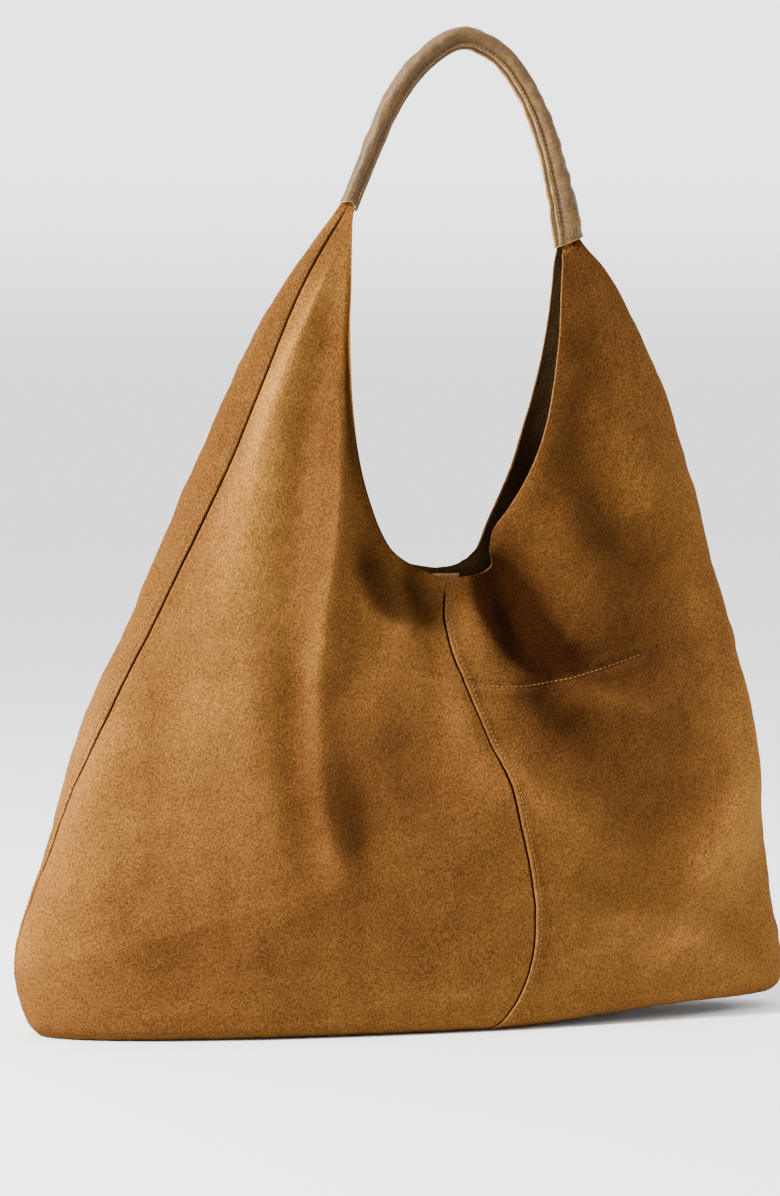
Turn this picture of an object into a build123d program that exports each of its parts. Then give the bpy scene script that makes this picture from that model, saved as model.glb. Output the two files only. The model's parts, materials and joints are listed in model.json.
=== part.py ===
from build123d import *
import math
import os

# Slouchy hobo bag of unlined suede with a rolled leather shoulder strap, in millimetres.
# +Z is up, -Y is the front, and the origin is on the ground under the middle of the bag's box.

# ---- driving dimensions ----
SUEDE = 1.8                 # thickness of the body suede
BASE_THICK = 2.4            # thickness of the base panel
BASE_GAP = 0.8              # clearance between the base panel and the panels round it
BASE_POINTS = 32            # points round its outline
STRAP_WALL = 1.5            # thickness of the strap leather
MOUTH_X = 22.0              # the closure and the lowest point of the mouth
PINCH_SPREAD = 46.0         # how far along the mouth the closure pulls front and back together
FRONT_RIM_LOW = 279.0       # lowest point of the front rim
BACK_RIM_LOW = 287.0        # lowest point of the back rim
SECTION_STEP = 38.0         # spacing of the loft sections
SECTION_POINTS = 13         # points along one sheet of a section
FAR = 400.0                 # cutting solids reach this far past the bag

# The body's outline by height: left edge, right edge, half depth, squareness of the section,
# share of the depth that the closure takes away, and the angle of the left side seam
# from the left edge towards the front.
LEVELS = [
    # z,   left,  right, depth, square, pinch, seam
    (0.0, -238.0, 242.0, 51.0, 2.2, 0.00, -6.0),
    (9.0, -247.0, 250.0, 60.0, 2.2, 0.00, -5.0),
    (25.0, -250.5, 252.0, 61.0, 2.2, 0.00, -4.0),
    (55.0, -252.0, 248.0, 62.0, 2.2, 0.00, -3.0),
    (100.0, -238.0, 240.0, 59.0, 2.2, 0.00, 1.0),
    (150.0, -222.0, 234.0, 53.0, 2.3, 0.00, 10.0),
    (200.0, -205.0, 227.0, 44.0, 2.5, 0.05, 18.0),
    (235.0, -188.0, 217.0, 39.0, 2.6, 0.18, 21.0),
    (255.0, -178.0, 210.0, 37.3, 2.6, 0.50, 23.0),
    (270.0, -172.0, 206.0, 36.6, 2.6, 0.79, 24.0),
    (287.0, -164.0, 201.0, 36.0, 2.6, 0.79, 25.0),
    (330.0, -146.0, 189.0, 33.0, 2.6, 0.70, 28.0),
    (380.0, -124.0, 174.0, 27.0, 2.7, 0.60, 31.0),
    (430.0, -101.0, 155.0, 19.0, 2.9, 0.40, 33.0),
    (475.0, -72.0, 131.0, 10.5, 3.3, 0.20, 30.0),
    (500.0, -54.0, 114.0, 6.6, 3.8, 0.00, 28.0),
    (530.0, -35.0, 96.0, 5.2, 4.0, 0.00, 28.0),
]
RIGHT_SEAM_ANGLE = 14.0     # the right side seam lies this far behind the right edge
BODY_TOP = 518.0            # the sheets are lofted this high, then trimmed at the necks

# Rims and seams, as (x, z) outlines seen from the front.
FRONT_RIM = [(-29, 540), (-34, 500), (-37, 440), (-36, 380), (-24, 335), (-6, 299),
             (MOUTH_X, FRONT_RIM_LOW), (48, 293), (62, 327), (82, 372), (93, 425), (100, 480), (104, 540)]
BACK_RIM = [(-26, 540), (-29, 490), (-30, 440), (-28, 390), (-18, 345), (-2, 307),
            (MOUTH_X, BACK_RIM_LOW), (46, 298), (62, 327), (78, 362), (90, 410), (97, 470), (100, 540)]
FRONT_CENTRE_SEAM = [(26, 300), (22, 272), (21, 240), (28, 214), (50, 162), (64, 112), (68, 62), (60, 22),
                     (50, -10)]
BACK_CENTRE_SEAM = [(22, 300), (17, 200), (12, 100), (9, -10)]
POCKET_SEAM = [(-59, 242), (-34, 233), (-1, 223), (27, 217), (58, 214), (89, 217), (122, 225), (145, 232)]

# The strap: its ends stand on the two necks of the body.
LEFT_NECK = (-41.0, 508.0)
RIGHT_NECK = (109.0, 486.0)
STRAP_PATH = [(-34, 522), (-21.5, 552.5), (-4, 588), (37, 622), (78, 592), (93.5, 554), (101, 525),
              (105.5, 499)]
# Along the strap: half width in the plane of the arch, half thickness across it.
STRAP_SECTIONS = [(7.6, 4.9), (7.0, 5.2), (7.0, 6.4), (7.4, 7.0), (7.6, 7.2), (7.6, 7.2),
                  (7.6, 7.2), (7.6, 7.0), (8.0, 6.4), (9.0, 5.4), (10.0, 4.9)]
STRAP_CORE_GAP = 0.25       # slack of the filler cord in the strap leather
STRAP_OVERRUN = 0.05        # share of the path that the strap is lofted past each end, then trimmed
STRAP_SEAM_LEAN = 38.0      # degrees that the strap's row of thread lies towards the front
KNUCKLE_RADIUS = 7.5        # gathered suede at the top of each neck, where the strap folds over
KNUCKLE_DEPTH = 4.8         # half its thickness
STRAP_STANDOFF = 8.0        # the strap's ends start this far above the fold line
TONGUE_LENGTH = 13.0        # suede tucked up into each strap end
NECKS_HALF_WIDTH = (6.6, 8.8)  # of the gathered suede in the left and the right neck
NECK_FILL_DEPTH = 16.0      # gathered suede inside each neck
NECK_HALF_FILL = 1.8        # half its thickness
NECK_FILL_SHARE = 0.8       # its width, as a share of half the neck's
SLACK = 0.15                # clearance between pieces that touch in the real bag

# Closure: a magnetic snap on two leather tabs that hang inside the mouth.
TAB_WIDTH, TAB_THICK = 28.0, 1.9
TAB_CORNER = 9.0
TAB_BOTTOM_Z = 234.0
TAB_FOLD_Z = 264.0          # the tabs bend here, just below their sewn ends
SNAP_Z = 249.0
SNAP_RADIUS, SNAP_THICK = 9.0, 3.0
STUD_RADIUS, STUD_LENGTH = 3.4, 2.0
SOCKET_RADIUS, SOCKET_DEPTH = 4.4, 2.4
WASHER_RADIUS, WASHER_THICK = 7.5, 0.6
TAB_TOP_GAP = 4.0           # the sewn ends stop this far below the rims

# Hanging zip pocket behind the front panel.
POCKET_Y = -26.4            # the pocket's face next to the front panel
POCKET_SHEET = 0.8
POCKET_GAP = 1.6            # room between its two layers
POCKET_BOTTOM = 92.0
POCKET_LEFT, POCKET_RIGHT = -59.0, 145.0
POCKET_TURN = 1.5           # the cloth's top lies this far below its row of stitches
HEM_WIDTH = 7.5             # folded cloth under the row of stitches
ZIP_Z = 193.0
ZIP_HALF = 84.0             # half the length of the zip
ZIP_X = 43.0
ZIP_LAP = 3.0               # the pocket's cloth overlaps each tape by this much
ZIP_TAPE_RUN = 8.0          # the tapes run this far past the last teeth
STOP_GAP, STOP_WIDTH, STOP_HALF = 2.0, 1.5, 1.8
TAPE_WIDTH, TAPE_THICK = 11.0, 0.7
TEETH_WIDTH, TEETH_THICK, TOOTH_PITCH, TOOTH_LENGTH = 2.0, 1.5, 3.0, 1.15
SLIDER_LENGTH, SLIDER_HEIGHT = 11.0, 8.5
SLIDER_THICK, SLIDER_CORNER = 1.4, 2.4
PIN_RADIUS, PIN_HEIGHT = 0.6, 1.5    # the bridge pin, and its height above the slider's face
PULL_LENGTH, PULL_WIDTH, PULL_THICK, PULL_CORNER = 26.0, 6.0, 1.2, 1.8
PULL_NECK, NECK_THICK = 6.0, 1.0     # a narrower neck between the pull's blade and its eye
EYE_RADIUS, EYE_HOLE, EYE_HEIGHT = 1.15, 0.66, 3.2

# Thread.
STITCH_PITCH, STITCH_LENGTH, STITCH_RADIUS = 4.0, 2.6, 0.4
STITCH_PROUD = STITCH_RADIUS / 3     # a stitch's middle lies this far outside the suede
SEAM_INSET = 4.5            # a row of topstitching lies this far from its seam
BACK_THREAD = [(21, 275), (17, 200), (12, 100), (10, 25)]
SIDE_THREAD_LOW, SIDE_THREAD_POINTS, SIDE_THREAD_TURN = 40.0, 24, 6.0
STRAP_THREAD_POINTS = 24


# ---- the body's shape ----
def smooth(table, column, z):
    """A column of the level table at height z, on a Catmull-Rom curve through its levels."""
    last = len(table) - 1
    i = max(k for k in range(last) if table[k][0] <= z or k == 0)
    rows = [table[min(max(k, 0), last)] for k in (i - 1, i, i + 1, i + 2)]
    span = rows[2][0] - rows[1][0]
    t = min(max((z - rows[1][0]) / span, 0.0), 1.0)
    slope = [
        (rows[k + 1][column] - rows[k - 1][column]) / (rows[k + 1][0] - rows[k - 1][0]) * span
        for k in (1, 2)
    ]
    a, b = rows[1][column], rows[2][column]
    return (
        a * (2 * t**3 - 3 * t**2 + 1)
        + b * (3 * t**2 - 2 * t**3)
        + slope[0] * (t**3 - 2 * t**2 + t)
        + slope[1] * (t**3 - t**2)
    )


def level(z):
    """Left edge, right edge, half depth, squareness, pinch and left seam angle at height z."""
    return [smooth(LEVELS, column, z) for column in range(1, 7)]


def section_point(z, angle, inset):
    """A point of the body's section. The angle runs from the left edge by the front to the right edge."""
    left, right, depth, square, pinch, _ = level(z)
    middle, half = (left + right) / 2, (right - left) / 2
    c, s = math.cos(math.radians(angle)), math.sin(math.radians(angle))
    x = middle - math.copysign(abs(c) ** (2 / square), c) * (half - inset)
    share = 1 - pinch * math.exp(-(((x - MOUTH_X) / PINCH_SPREAD) ** 2))
    y = -math.copysign(abs(s) ** (2 / square), s) * (depth * share - inset)
    return Vector(x, y, z)


def front_y(x, z, inset=0.0):
    """Depth of the front sheet at a place seen from the front."""
    left, right, depth, square, pinch, _ = level(z)
    middle, half = (left + right) / 2, (right - left) / 2 - inset
    share = 1 - pinch * math.exp(-(((x - MOUTH_X) / PINCH_SPREAD) ** 2))
    across = min(abs(x - middle) / half, 1.0)
    return -(depth * share - inset) * (1 - across**square) ** (1 / square)


def sheet_section(z, start, end):
    """The closed outline of one sheet of suede at height z, between two seam angles."""
    angles = [start + (end - start) * k / (SECTION_POINTS - 1) for k in range(SECTION_POINTS)]
    outer = Spline([section_point(z, a, 0.0) for a in angles])
    inner = Spline([section_point(z, a, SUEDE) for a in angles])
    return Face(Wire([outer, inner, Line(outer @ 0, inner @ 0), Line(outer @ 1, inner @ 1)]))


def heights():
    """Heights of the loft sections, closer together where the base curls in."""
    low = [0.0, 4.0, 11.0, 24.0, 42.0, 62.0, 86.0]
    count = round((BODY_TOP - low[-1]) / SECTION_STEP)
    return low + [low[-1] + (BODY_TOP - low[-1]) * k / count for k in range(1, count + 1)]


def sheet(front):
    sections = []
    for z in heights():
        left_seam = level(z)[5]
        right_seam = 180 + RIGHT_SEAM_ANGLE
        span = (left_seam, right_seam) if front else (right_seam, 360 + left_seam)
        sections.append(sheet_section(z, *span))
    return Solid.make_loft([face.outer_wire() for face in sections])


def prism(edges, low, high):
    """A solid between two depths, over an outline in the XZ plane."""
    face = Face(Wire(edges)).moved(Location((0, low, 0)))
    return Solid.extrude(face, Vector(0, high - low, 0))


def outline(points):
    return Spline([Vector(x, 0, z) for x, z in points])


def closed(curve, corners):
    """A curve's two ends joined through corner points, as edges of one outline."""
    stops = [curve @ 1] + [Vector(x, 0, z) for x, z in corners] + [curve @ 0]
    return [curve] + [Line(a, b) for a, b in zip(stops, stops[1:])]


def mouth_cut(rim, front):
    """Everything above a rim, on its side of the mouth."""
    top = BODY_TOP + FAR
    low, high = (-FAR, SUEDE) if front else (-SUEDE, FAR)
    return prism(closed(outline(rim), [(rim[-1][0], top), (rim[0][0], top)]), low, high)


def left_of(seam):
    """Everything to the left of a centre seam."""
    top = BODY_TOP + FAR
    corners = [(-FAR, seam[-1][1]), (-FAR, top), (seam[0][0], top)]
    return prism(closed(outline(seam), corners), -FAR, FAR)


# ---- the fold line between the body and the strap ----
def fold_plane():
    """A plane on the left neck, with X along the fold line and Z square to it, upwards."""
    along = Vector(RIGHT_NECK[0] - LEFT_NECK[0], 0, RIGHT_NECK[1] - LEFT_NECK[1]).normalized()
    return Plane(origin=(LEFT_NECK[0], 0, LEFT_NECK[1]), x_dir=along, z_dir=Vector(-along.Z, 0, along.X))


FOLD = fold_plane()
NECK_SPACING = math.dist(LEFT_NECK, RIGHT_NECK)


def above_fold(lift):
    return FOLD * Pos(NECK_SPACING / 2, 0, FAR / 2 + lift) * Box(FAR, FAR, FAR)


def below_fold():
    size = 2 * FAR
    return FOLD * Pos(NECK_SPACING / 2, 0, -size / 2) * Box(size, size, size)


def body_panels():
    panels = {}
    for side, rim, seam in (("front", FRONT_RIM, FRONT_CENTRE_SEAM), ("back", BACK_RIM, BACK_CENTRE_SEAM)):
        whole = (sheet(side == "front") & below_fold()) - mouth_cut(rim, side == "front")
        left = left_of(seam)
        panels[f"{side}_left_panel"] = whole & left
        panels[f"{side}_right_panel"] = whole - left
    return panels


def base_panel():
    """A flat pointed oval that the four panels are sewn to."""
    angles = [360 * k / BASE_POINTS for k in range(BASE_POINTS)]
    points = [section_point(0.0, a, SUEDE + BASE_GAP) for a in angles]
    return Solid.extrude(Face(Wire([Spline(points, periodic=True)])), Vector(0, 0, BASE_THICK))


def peak_gather(place, half_width):
    """Folded suede in the top of a neck, rounded about the fold line so that the strap can lie over."""
    knuckle = Pos(place, 0, 0) * Rot(0, 90, 0) * Cylinder(KNUCKLE_RADIUS, 2 * half_width)
    top = Pos(place, 0, KNUCKLE_RADIUS / 2) * Box(2 * half_width, 2 * KNUCKLE_DEPTH, KNUCKLE_RADIUS)
    fill_width = NECK_FILL_SHARE * half_width
    fill = Pos(place, 0, -NECK_FILL_DEPTH / 2) * Box(fill_width, 2 * NECK_HALF_FILL, NECK_FILL_DEPTH)
    return FOLD * ((knuckle & top) + fill)


# ---- the strap ----
def strap_frame(t):
    path = outline(STRAP_PATH)
    return Plane(origin=path.position_at(t), x_dir=(0, 1, 0), z_dir=path.tangent_at(t))


def strap_loft(inset):
    sections = []
    last = len(STRAP_SECTIONS) - 1
    for k, (width, thick) in enumerate(STRAP_SECTIONS):
        t = -STRAP_OVERRUN + (1 + 2 * STRAP_OVERRUN) * k / last
        sections.append(strap_frame(t) * Ellipse(thick - inset, width - inset))
    return Solid.make_loft([s.faces()[0].outer_wire() for s in sections])


def strap_pieces():
    path = outline(STRAP_PATH)
    end = TONGUE_LENGTH / path.length
    lift = above_fold(STRAP_STANDOFF)
    leather = (strap_loft(0.0) - strap_loft(STRAP_WALL)) & lift
    inner = strap_loft(STRAP_WALL + STRAP_CORE_GAP) & lift
    cut = 4 * TONGUE_LENGTH
    below_left_tip = strap_frame(end) * Pos(0, 0, -cut / 2) * Box(cut, cut, cut)
    below_right_tip = strap_frame(1 - end) * Pos(0, 0, cut / 2) * Box(cut, cut, cut)
    return {
        "strap_leather": leather,
        "strap_core": inner - below_left_tip - below_right_tip,
        "left_suede_tongue": inner & below_left_tip,
        "right_suede_tongue": inner & below_right_tip,
    }


# ---- the closure ----
TAB_Y = SNAP_THICK + SLACK + TAB_THICK / 2   # the tabs' middle planes lie this far from the mouth's middle


def tab(sign, rim_low):
    """One leather tab as its sewn end and its free flap, on the side of the mouth that sign gives."""
    y = sign * TAB_Y
    gap = SLACK + TAB_THICK / 2
    low, high = TAB_FOLD_Z + gap, rim_low - TAB_TOP_GAP
    sewn_end = Pos(MOUTH_X, y, (low + high) / 2) * Box(TAB_WIDTH, TAB_THICK, high - low)
    middle, height = (TAB_BOTTOM_Z + TAB_FOLD_Z) / 2, TAB_FOLD_Z - TAB_BOTTOM_Z
    flap = Pos(MOUTH_X, y, middle) * Box(TAB_WIDTH, TAB_THICK, height)
    flap = fillet(flap.edges().filter_by(Axis.Y).group_by(Axis.Z)[0], TAB_CORNER)
    fold = Pos(MOUTH_X, y, TAB_FOLD_Z) * Rot(0, 90, 0) * Cylinder(TAB_THICK / 2, TAB_WIDTH)
    return sewn_end, flap + fold


def disc(radius, y_from, y_to, z):
    low, high = min(y_from, y_to), max(y_from, y_to)
    return Pos(MOUTH_X, (low + high) / 2, z) * Rot(90, 0, 0) * Cylinder(radius, high - low)


def closure():
    face, root = SLACK, SNAP_THICK + SLACK
    behind = root + TAB_THICK
    front_end, front_flap = tab(-1, FRONT_RIM_LOW)
    back_end, back_flap = tab(1, BACK_RIM_LOW)
    socket = disc(SNAP_RADIUS, -face, -root, SNAP_Z) - disc(SOCKET_RADIUS, 0, -face - SOCKET_DEPTH, SNAP_Z)
    stud = disc(SNAP_RADIUS, face, root, SNAP_Z) + disc(STUD_RADIUS, face - STUD_LENGTH, face, SNAP_Z)
    return {
        "front_tab_sewn_end": front_end,
        "front_closure_tab": front_flap,
        "back_tab_sewn_end": back_end,
        "back_closure_tab": back_flap,
        "snap_socket": socket,
        "snap_stud": stud,
        "snap_socket_washer": disc(WASHER_RADIUS, -behind, -behind - WASHER_THICK, SNAP_Z),
        "snap_stud_washer": disc(WASHER_RADIUS, behind, behind + WASHER_THICK, SNAP_Z),
    }


# ---- the zip pocket ----
def pocket_outline(top_points, bottom):
    """An area under a top curve, down to a level bottom edge."""
    curve = outline(top_points)
    return closed(curve, [(top_points[-1][0], bottom), (top_points[0][0], bottom)])


def slab(x_low, x_high, y_low, y_high, z_low, z_high):
    size = (x_high - x_low, y_high - y_low, z_high - z_low)
    return Pos((x_low + x_high) / 2, (y_low + y_high) / 2, (z_low + z_high) / 2) * Box(*size)


def zip_teeth(z_low, y, shift):
    """One row of teeth, as separate solids on the edge of its tape."""
    count = int(2 * ZIP_HALF / TOOTH_PITCH)
    first = ZIP_X - ZIP_HALF + shift
    teeth = []
    for k in range(count):
        x = first + k * TOOTH_PITCH
        teeth.append(slab(x, x + TOOTH_LENGTH, y, y + TEETH_THICK, z_low, z_low + TEETH_WIDTH))
    return Compound(children=teeth)


POCKET_FACE_Y = POCKET_Y + 2 * POCKET_SHEET + POCKET_GAP    # the pocket's inner face, under the tapes
TOOTH_Y = POCKET_FACE_Y - (TEETH_THICK - TAPE_THICK) / 2
TOOTH_FACE_Y = TOOTH_Y + TEETH_THICK


def zip_end_stops():
    left = ZIP_X - ZIP_HALF - STOP_GAP - STOP_WIDTH
    right = ZIP_X + ZIP_HALF + STOP_GAP
    stops = []
    for x in (left, right):
        stops.append(slab(x, x + STOP_WIDTH, TOOTH_Y, TOOTH_FACE_Y, ZIP_Z - STOP_HALF, ZIP_Z + STOP_HALF))
    return Compound(children=stops)


def pocket():
    """Two layers of cloth sewn along the pocket's seam, with a zip across the inner one."""
    near = POCKET_Y
    layer = near + POCKET_SHEET + POCKET_GAP
    tape_face = POCKET_FACE_Y + TAPE_THICK
    top = [(x, z - POCKET_TURN) for x, z in POCKET_SEAM]
    under_hem = [(x, z - HEM_WIDTH) for x, z in reversed(top)]
    tape_top, tape_bottom = ZIP_Z + TAPE_WIDTH + 1, ZIP_Z - TAPE_WIDTH - 1
    left, right = ZIP_X - ZIP_HALF - ZIP_TAPE_RUN, ZIP_X + ZIP_HALF + ZIP_TAPE_RUN
    return {
        "pocket_back_layer": prism(pocket_outline(top, POCKET_BOTTOM), near, near + POCKET_SHEET),
        "pocket_upper_flap": prism(pocket_outline(top, ZIP_Z + TAPE_WIDTH - ZIP_LAP), layer, POCKET_FACE_Y),
        "pocket_pouch": slab(POCKET_LEFT, POCKET_RIGHT, layer, POCKET_FACE_Y,
                             POCKET_BOTTOM, ZIP_Z - TAPE_WIDTH + ZIP_LAP),
        "pocket_hem": prism(closed(outline(top), under_hem), near + POCKET_SHEET, layer),
        "zip_upper_tape": slab(left, right, POCKET_FACE_Y, tape_face, ZIP_Z + TEETH_WIDTH, tape_top),
        "zip_lower_tape": slab(left, right, POCKET_FACE_Y, tape_face, tape_bottom, ZIP_Z - TEETH_WIDTH),
        "zip_upper_teeth": zip_teeth(ZIP_Z, TOOTH_Y, 0.0),
        "zip_lower_teeth": zip_teeth(ZIP_Z - TEETH_WIDTH, TOOTH_Y, TOOTH_PITCH / 2),
        "zip_end_stops": zip_end_stops(),
    }


SLIDER_X = ZIP_X + ZIP_HALF - SLIDER_LENGTH
SLIDER_FACE_Y = TOOTH_FACE_Y + SLACK + SLIDER_THICK
PIN_X, PIN_Y = SLIDER_X + SLIDER_LENGTH / 2, SLIDER_FACE_Y + PIN_HEIGHT
POST_WIDTH, POST_HEIGHT, POST_INNER, POST_THICK = 2.0, 2.4, 1.9, 1.0


def zip_slider():
    """A slider riding on the zip's inner face, with a bridge that holds the pull."""
    half = SLIDER_HEIGHT / 2
    body = slab(SLIDER_X, SLIDER_X + SLIDER_LENGTH, SLIDER_FACE_Y - SLIDER_THICK, SLIDER_FACE_Y,
                ZIP_Z - half, ZIP_Z + half)
    body = fillet(body.edges().filter_by(Axis.Y), SLIDER_CORNER)
    low, high = PIN_X - POST_WIDTH / 2, PIN_X + POST_WIDTH / 2
    for z in (ZIP_Z - POST_INNER - POST_THICK, ZIP_Z + POST_INNER):
        body += slab(low, high, SLIDER_FACE_Y, SLIDER_FACE_Y + POST_HEIGHT, z, z + POST_THICK)
    return body + Pos(PIN_X, PIN_Y, ZIP_Z) * Cylinder(PIN_RADIUS, 2 * POST_INNER + POST_THICK / 4)


def zip_pull():
    """A flat pull with an eye round the slider's pin, lying to the left along the zip."""
    hole = Pos(PIN_X, PIN_Y, ZIP_Z) * Cylinder(EYE_HOLE, SLIDER_HEIGHT)
    eye = Pos(PIN_X, PIN_Y, ZIP_Z) * Cylinder(EYE_RADIUS, EYE_HEIGHT)
    shoulder = PIN_X - PULL_NECK
    neck = slab(shoulder, PIN_X - EYE_RADIUS / 2, PIN_Y - NECK_THICK / 2, PIN_Y + NECK_THICK / 2,
                ZIP_Z - EYE_HEIGHT / 2, ZIP_Z + EYE_HEIGHT / 2)
    blade_half = PULL_THICK / 2
    blade = slab(PIN_X - PULL_LENGTH, shoulder + blade_half, PIN_Y - blade_half, PIN_Y + blade_half,
                 ZIP_Z - PULL_WIDTH / 2, ZIP_Z + PULL_WIDTH / 2)
    blade = fillet(blade.edges().filter_by(Axis.Y), PULL_CORNER)
    return eye + neck + blade - hole


# ---- thread ----
def stitches(points, forward=STITCH_PROUD):
    """Short lengths of thread along a line of points, each moved forward to lie half sunk in the surface."""
    path = Spline(points)
    count = int(path.length / STITCH_PITCH)
    made = []
    for k in range(count):
        t = (k + 0.5) / count
        place = Plane(origin=path.position_at(t) + Vector(0, -forward, 0), z_dir=path.tangent_at(t))
        made.append(place * Cylinder(STITCH_RADIUS, STITCH_LENGTH))
    return Compound(children=made)


def on_sheet(points, side, shift=0.0):
    """Points seen from the front, laid on the front sheet (side 1) or the back one (side -1)."""
    return [Vector(x + shift, side * front_y(x + shift, z), z) for x, z in points]


def beside_side_seam(left, high, turn):
    """Points up the outside of the body, a turn of some degrees away from a side seam."""
    points = []
    for k in range(SIDE_THREAD_POINTS):
        z = SIDE_THREAD_LOW + (high - SIDE_THREAD_LOW) * k / (SIDE_THREAD_POINTS - 1)
        angle = level(z)[5] if left else 180 + RIGHT_SEAM_ANGLE
        points.append(section_point(z, angle + turn, 0.0))
    return points


def threads():
    centre = [(x, z) for x, z in FRONT_CENTRE_SEAM if 0 < z < FRONT_RIM_LOW]
    return {
        "pocket_seam_thread": stitches(on_sheet(POCKET_SEAM, 1)),
        "front_centre_seam_thread": stitches(on_sheet(centre, 1, SEAM_INSET)),
        "back_centre_seam_thread": stitches(on_sheet(BACK_THREAD, -1, SEAM_INSET), -STITCH_PROUD),
        "left_side_seam_thread": stitches(beside_side_seam(True, 480, -SIDE_THREAD_TURN)),
        "right_side_seam_thread": stitches(beside_side_seam(False, 470, SIDE_THREAD_TURN)),
    }


def strap_thread():
    """A row of thread along the strap's inner side."""
    lean = math.radians(STRAP_SEAM_LEAN)
    middle = Vector((LEFT_NECK[0] + RIGHT_NECK[0]) / 2, 0, STRAP_PATH[1][1])
    points = []
    for k in range(2, STRAP_THREAD_POINTS - 1):
        t = k / STRAP_THREAD_POINTS
        frame = strap_frame(t)
        width, thick = STRAP_SECTIONS[round(t * (len(STRAP_SECTIONS) - 1))]
        inward = frame.y_dir if frame.y_dir.dot(middle - frame.origin) > 0 else -frame.y_dir
        points.append(frame.origin + inward * (width * math.cos(lean)) - Vector(0, thick * math.sin(lean), 0))
    return stitches(points)


def build():
    parts = body_panels()
    parts["base_panel"] = base_panel()
    parts["left_peak_gather"] = peak_gather(0, NECKS_HALF_WIDTH[0])
    parts["right_peak_gather"] = peak_gather(NECK_SPACING, NECKS_HALF_WIDTH[1])
    parts.update(strap_pieces())
    parts.update(closure())
    parts.update(pocket())
    parts["zip_slider"] = zip_slider()
    parts["zip_pull"] = zip_pull()
    parts.update(threads())
    parts["strap_seam_thread"] = strap_thread()
    return parts


os.makedirs("parts", exist_ok=True)
for name, shape in build().items():
    export_step(shape, f"parts/{name}.step")
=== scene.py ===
import json
import math

import bpy
import numpy as np
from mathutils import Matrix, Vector
from mathutils.bvhtree import BVHTree


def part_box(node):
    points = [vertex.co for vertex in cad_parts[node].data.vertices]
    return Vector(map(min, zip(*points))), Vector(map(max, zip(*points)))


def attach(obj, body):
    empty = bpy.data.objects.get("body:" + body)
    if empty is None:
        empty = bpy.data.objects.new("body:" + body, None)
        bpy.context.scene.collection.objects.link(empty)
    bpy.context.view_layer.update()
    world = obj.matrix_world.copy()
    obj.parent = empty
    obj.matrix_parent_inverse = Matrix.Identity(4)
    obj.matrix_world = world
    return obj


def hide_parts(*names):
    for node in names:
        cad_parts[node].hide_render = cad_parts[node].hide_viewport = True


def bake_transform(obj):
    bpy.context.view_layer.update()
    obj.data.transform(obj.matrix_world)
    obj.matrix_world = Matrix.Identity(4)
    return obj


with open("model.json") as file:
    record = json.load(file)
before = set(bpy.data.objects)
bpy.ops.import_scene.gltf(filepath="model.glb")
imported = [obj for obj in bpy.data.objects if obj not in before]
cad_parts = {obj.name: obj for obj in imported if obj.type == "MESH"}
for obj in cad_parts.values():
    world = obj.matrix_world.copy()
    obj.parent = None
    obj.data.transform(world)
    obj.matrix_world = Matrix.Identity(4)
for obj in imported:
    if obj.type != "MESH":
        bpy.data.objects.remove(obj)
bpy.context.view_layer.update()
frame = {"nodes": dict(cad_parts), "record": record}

# A slouchy suede hobo bag, looked at a little from its left. Shapes are worked out in the bag's own
# millimetres (+X right, -Y front, +Z up) and written to meshes in metres.

MM = 0.001
SPACING = 2.3        # of a panel's mesh, mm

# ---- driving dimensions, mm ----
SUEDE = 1.8                                 # thickness of the suede
BASE_THICK, BASE_INSET = 2.2, 2.4           # thickness of the base, and its distance inside the outline
MOUTH_X = 22.0                              # the closure, at the lowest point of the mouth
PINCH_SPREAD = 46.0                         # width of the stretch that the closure pulls in
SEAM_UNDER = 3.0                            # how far one panel runs on beneath the other in a seam
STITCH_PITCH = 3.1
STITCH_LENGTH = 2.2
STITCH_RADIUS = 0.36
STITCH_SIDES = 6
SEAM_CALM = {"left": 14.0, "right": 26.0}   # folds run out this near to a side seam
SEAM_INSET = 3.2                            # of a row of topstitching from its seam
TABS_ROOM = 7.4                             # the panels stay this far from the middle plane at the tabs
POCKET_ROOM = 28.4                          # and the front stays this far from it over the pocket
POCKET_LEFT, POCKET_RIGHT, POCKET_BOTTOM = -59.0, 145.0, 92.0

JOINTS = {joint["name"]: joint for joint in frame["record"]["behaviour"]["joints"]}
FOLD_AT = np.array(JOINTS["strap_swing"]["pos_m"]) / MM
FOLD_ALONG = np.array(JOINTS["strap_swing"]["axis"], float)
FOLD_UP = np.array([-FOLD_ALONG[2], 0.0, FOLD_ALONG[0]])
FOLD_DEPTH = 1.4                            # share of the height that the lists of folds give

# Outline of the body by height: (z, x) of its left and right edges.
LEFT_EDGE = [(0, -236), (5, -241), (14, -245), (31, -250), (48, -251.5), (62, -249), (84, -242),
             (114, -231),
             (145, -222.5), (181, -212), (227, -193.5), (250, -182), (312, -154), (350, -137), (396, -117),
             (437, -97), (480, -70), (497, -57.5), (506, -50.5), (512, -46), (517, -42.6), (522, -39.8),
             (530, -36)]
RIGHT_EDGE = [(0, 245), (3, 249), (12, 251.5), (28, 252), (42, 250), (67, 244), (100, 240), (133, 237),
              (172, 231), (198, 224.5), (224, 216), (251, 210), (283, 203), (316, 196), (348, 188),
              (386, 176), (415, 164), (450, 147), (479, 129), (493, 116.5), (500, 112), (510, 111)]
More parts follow.
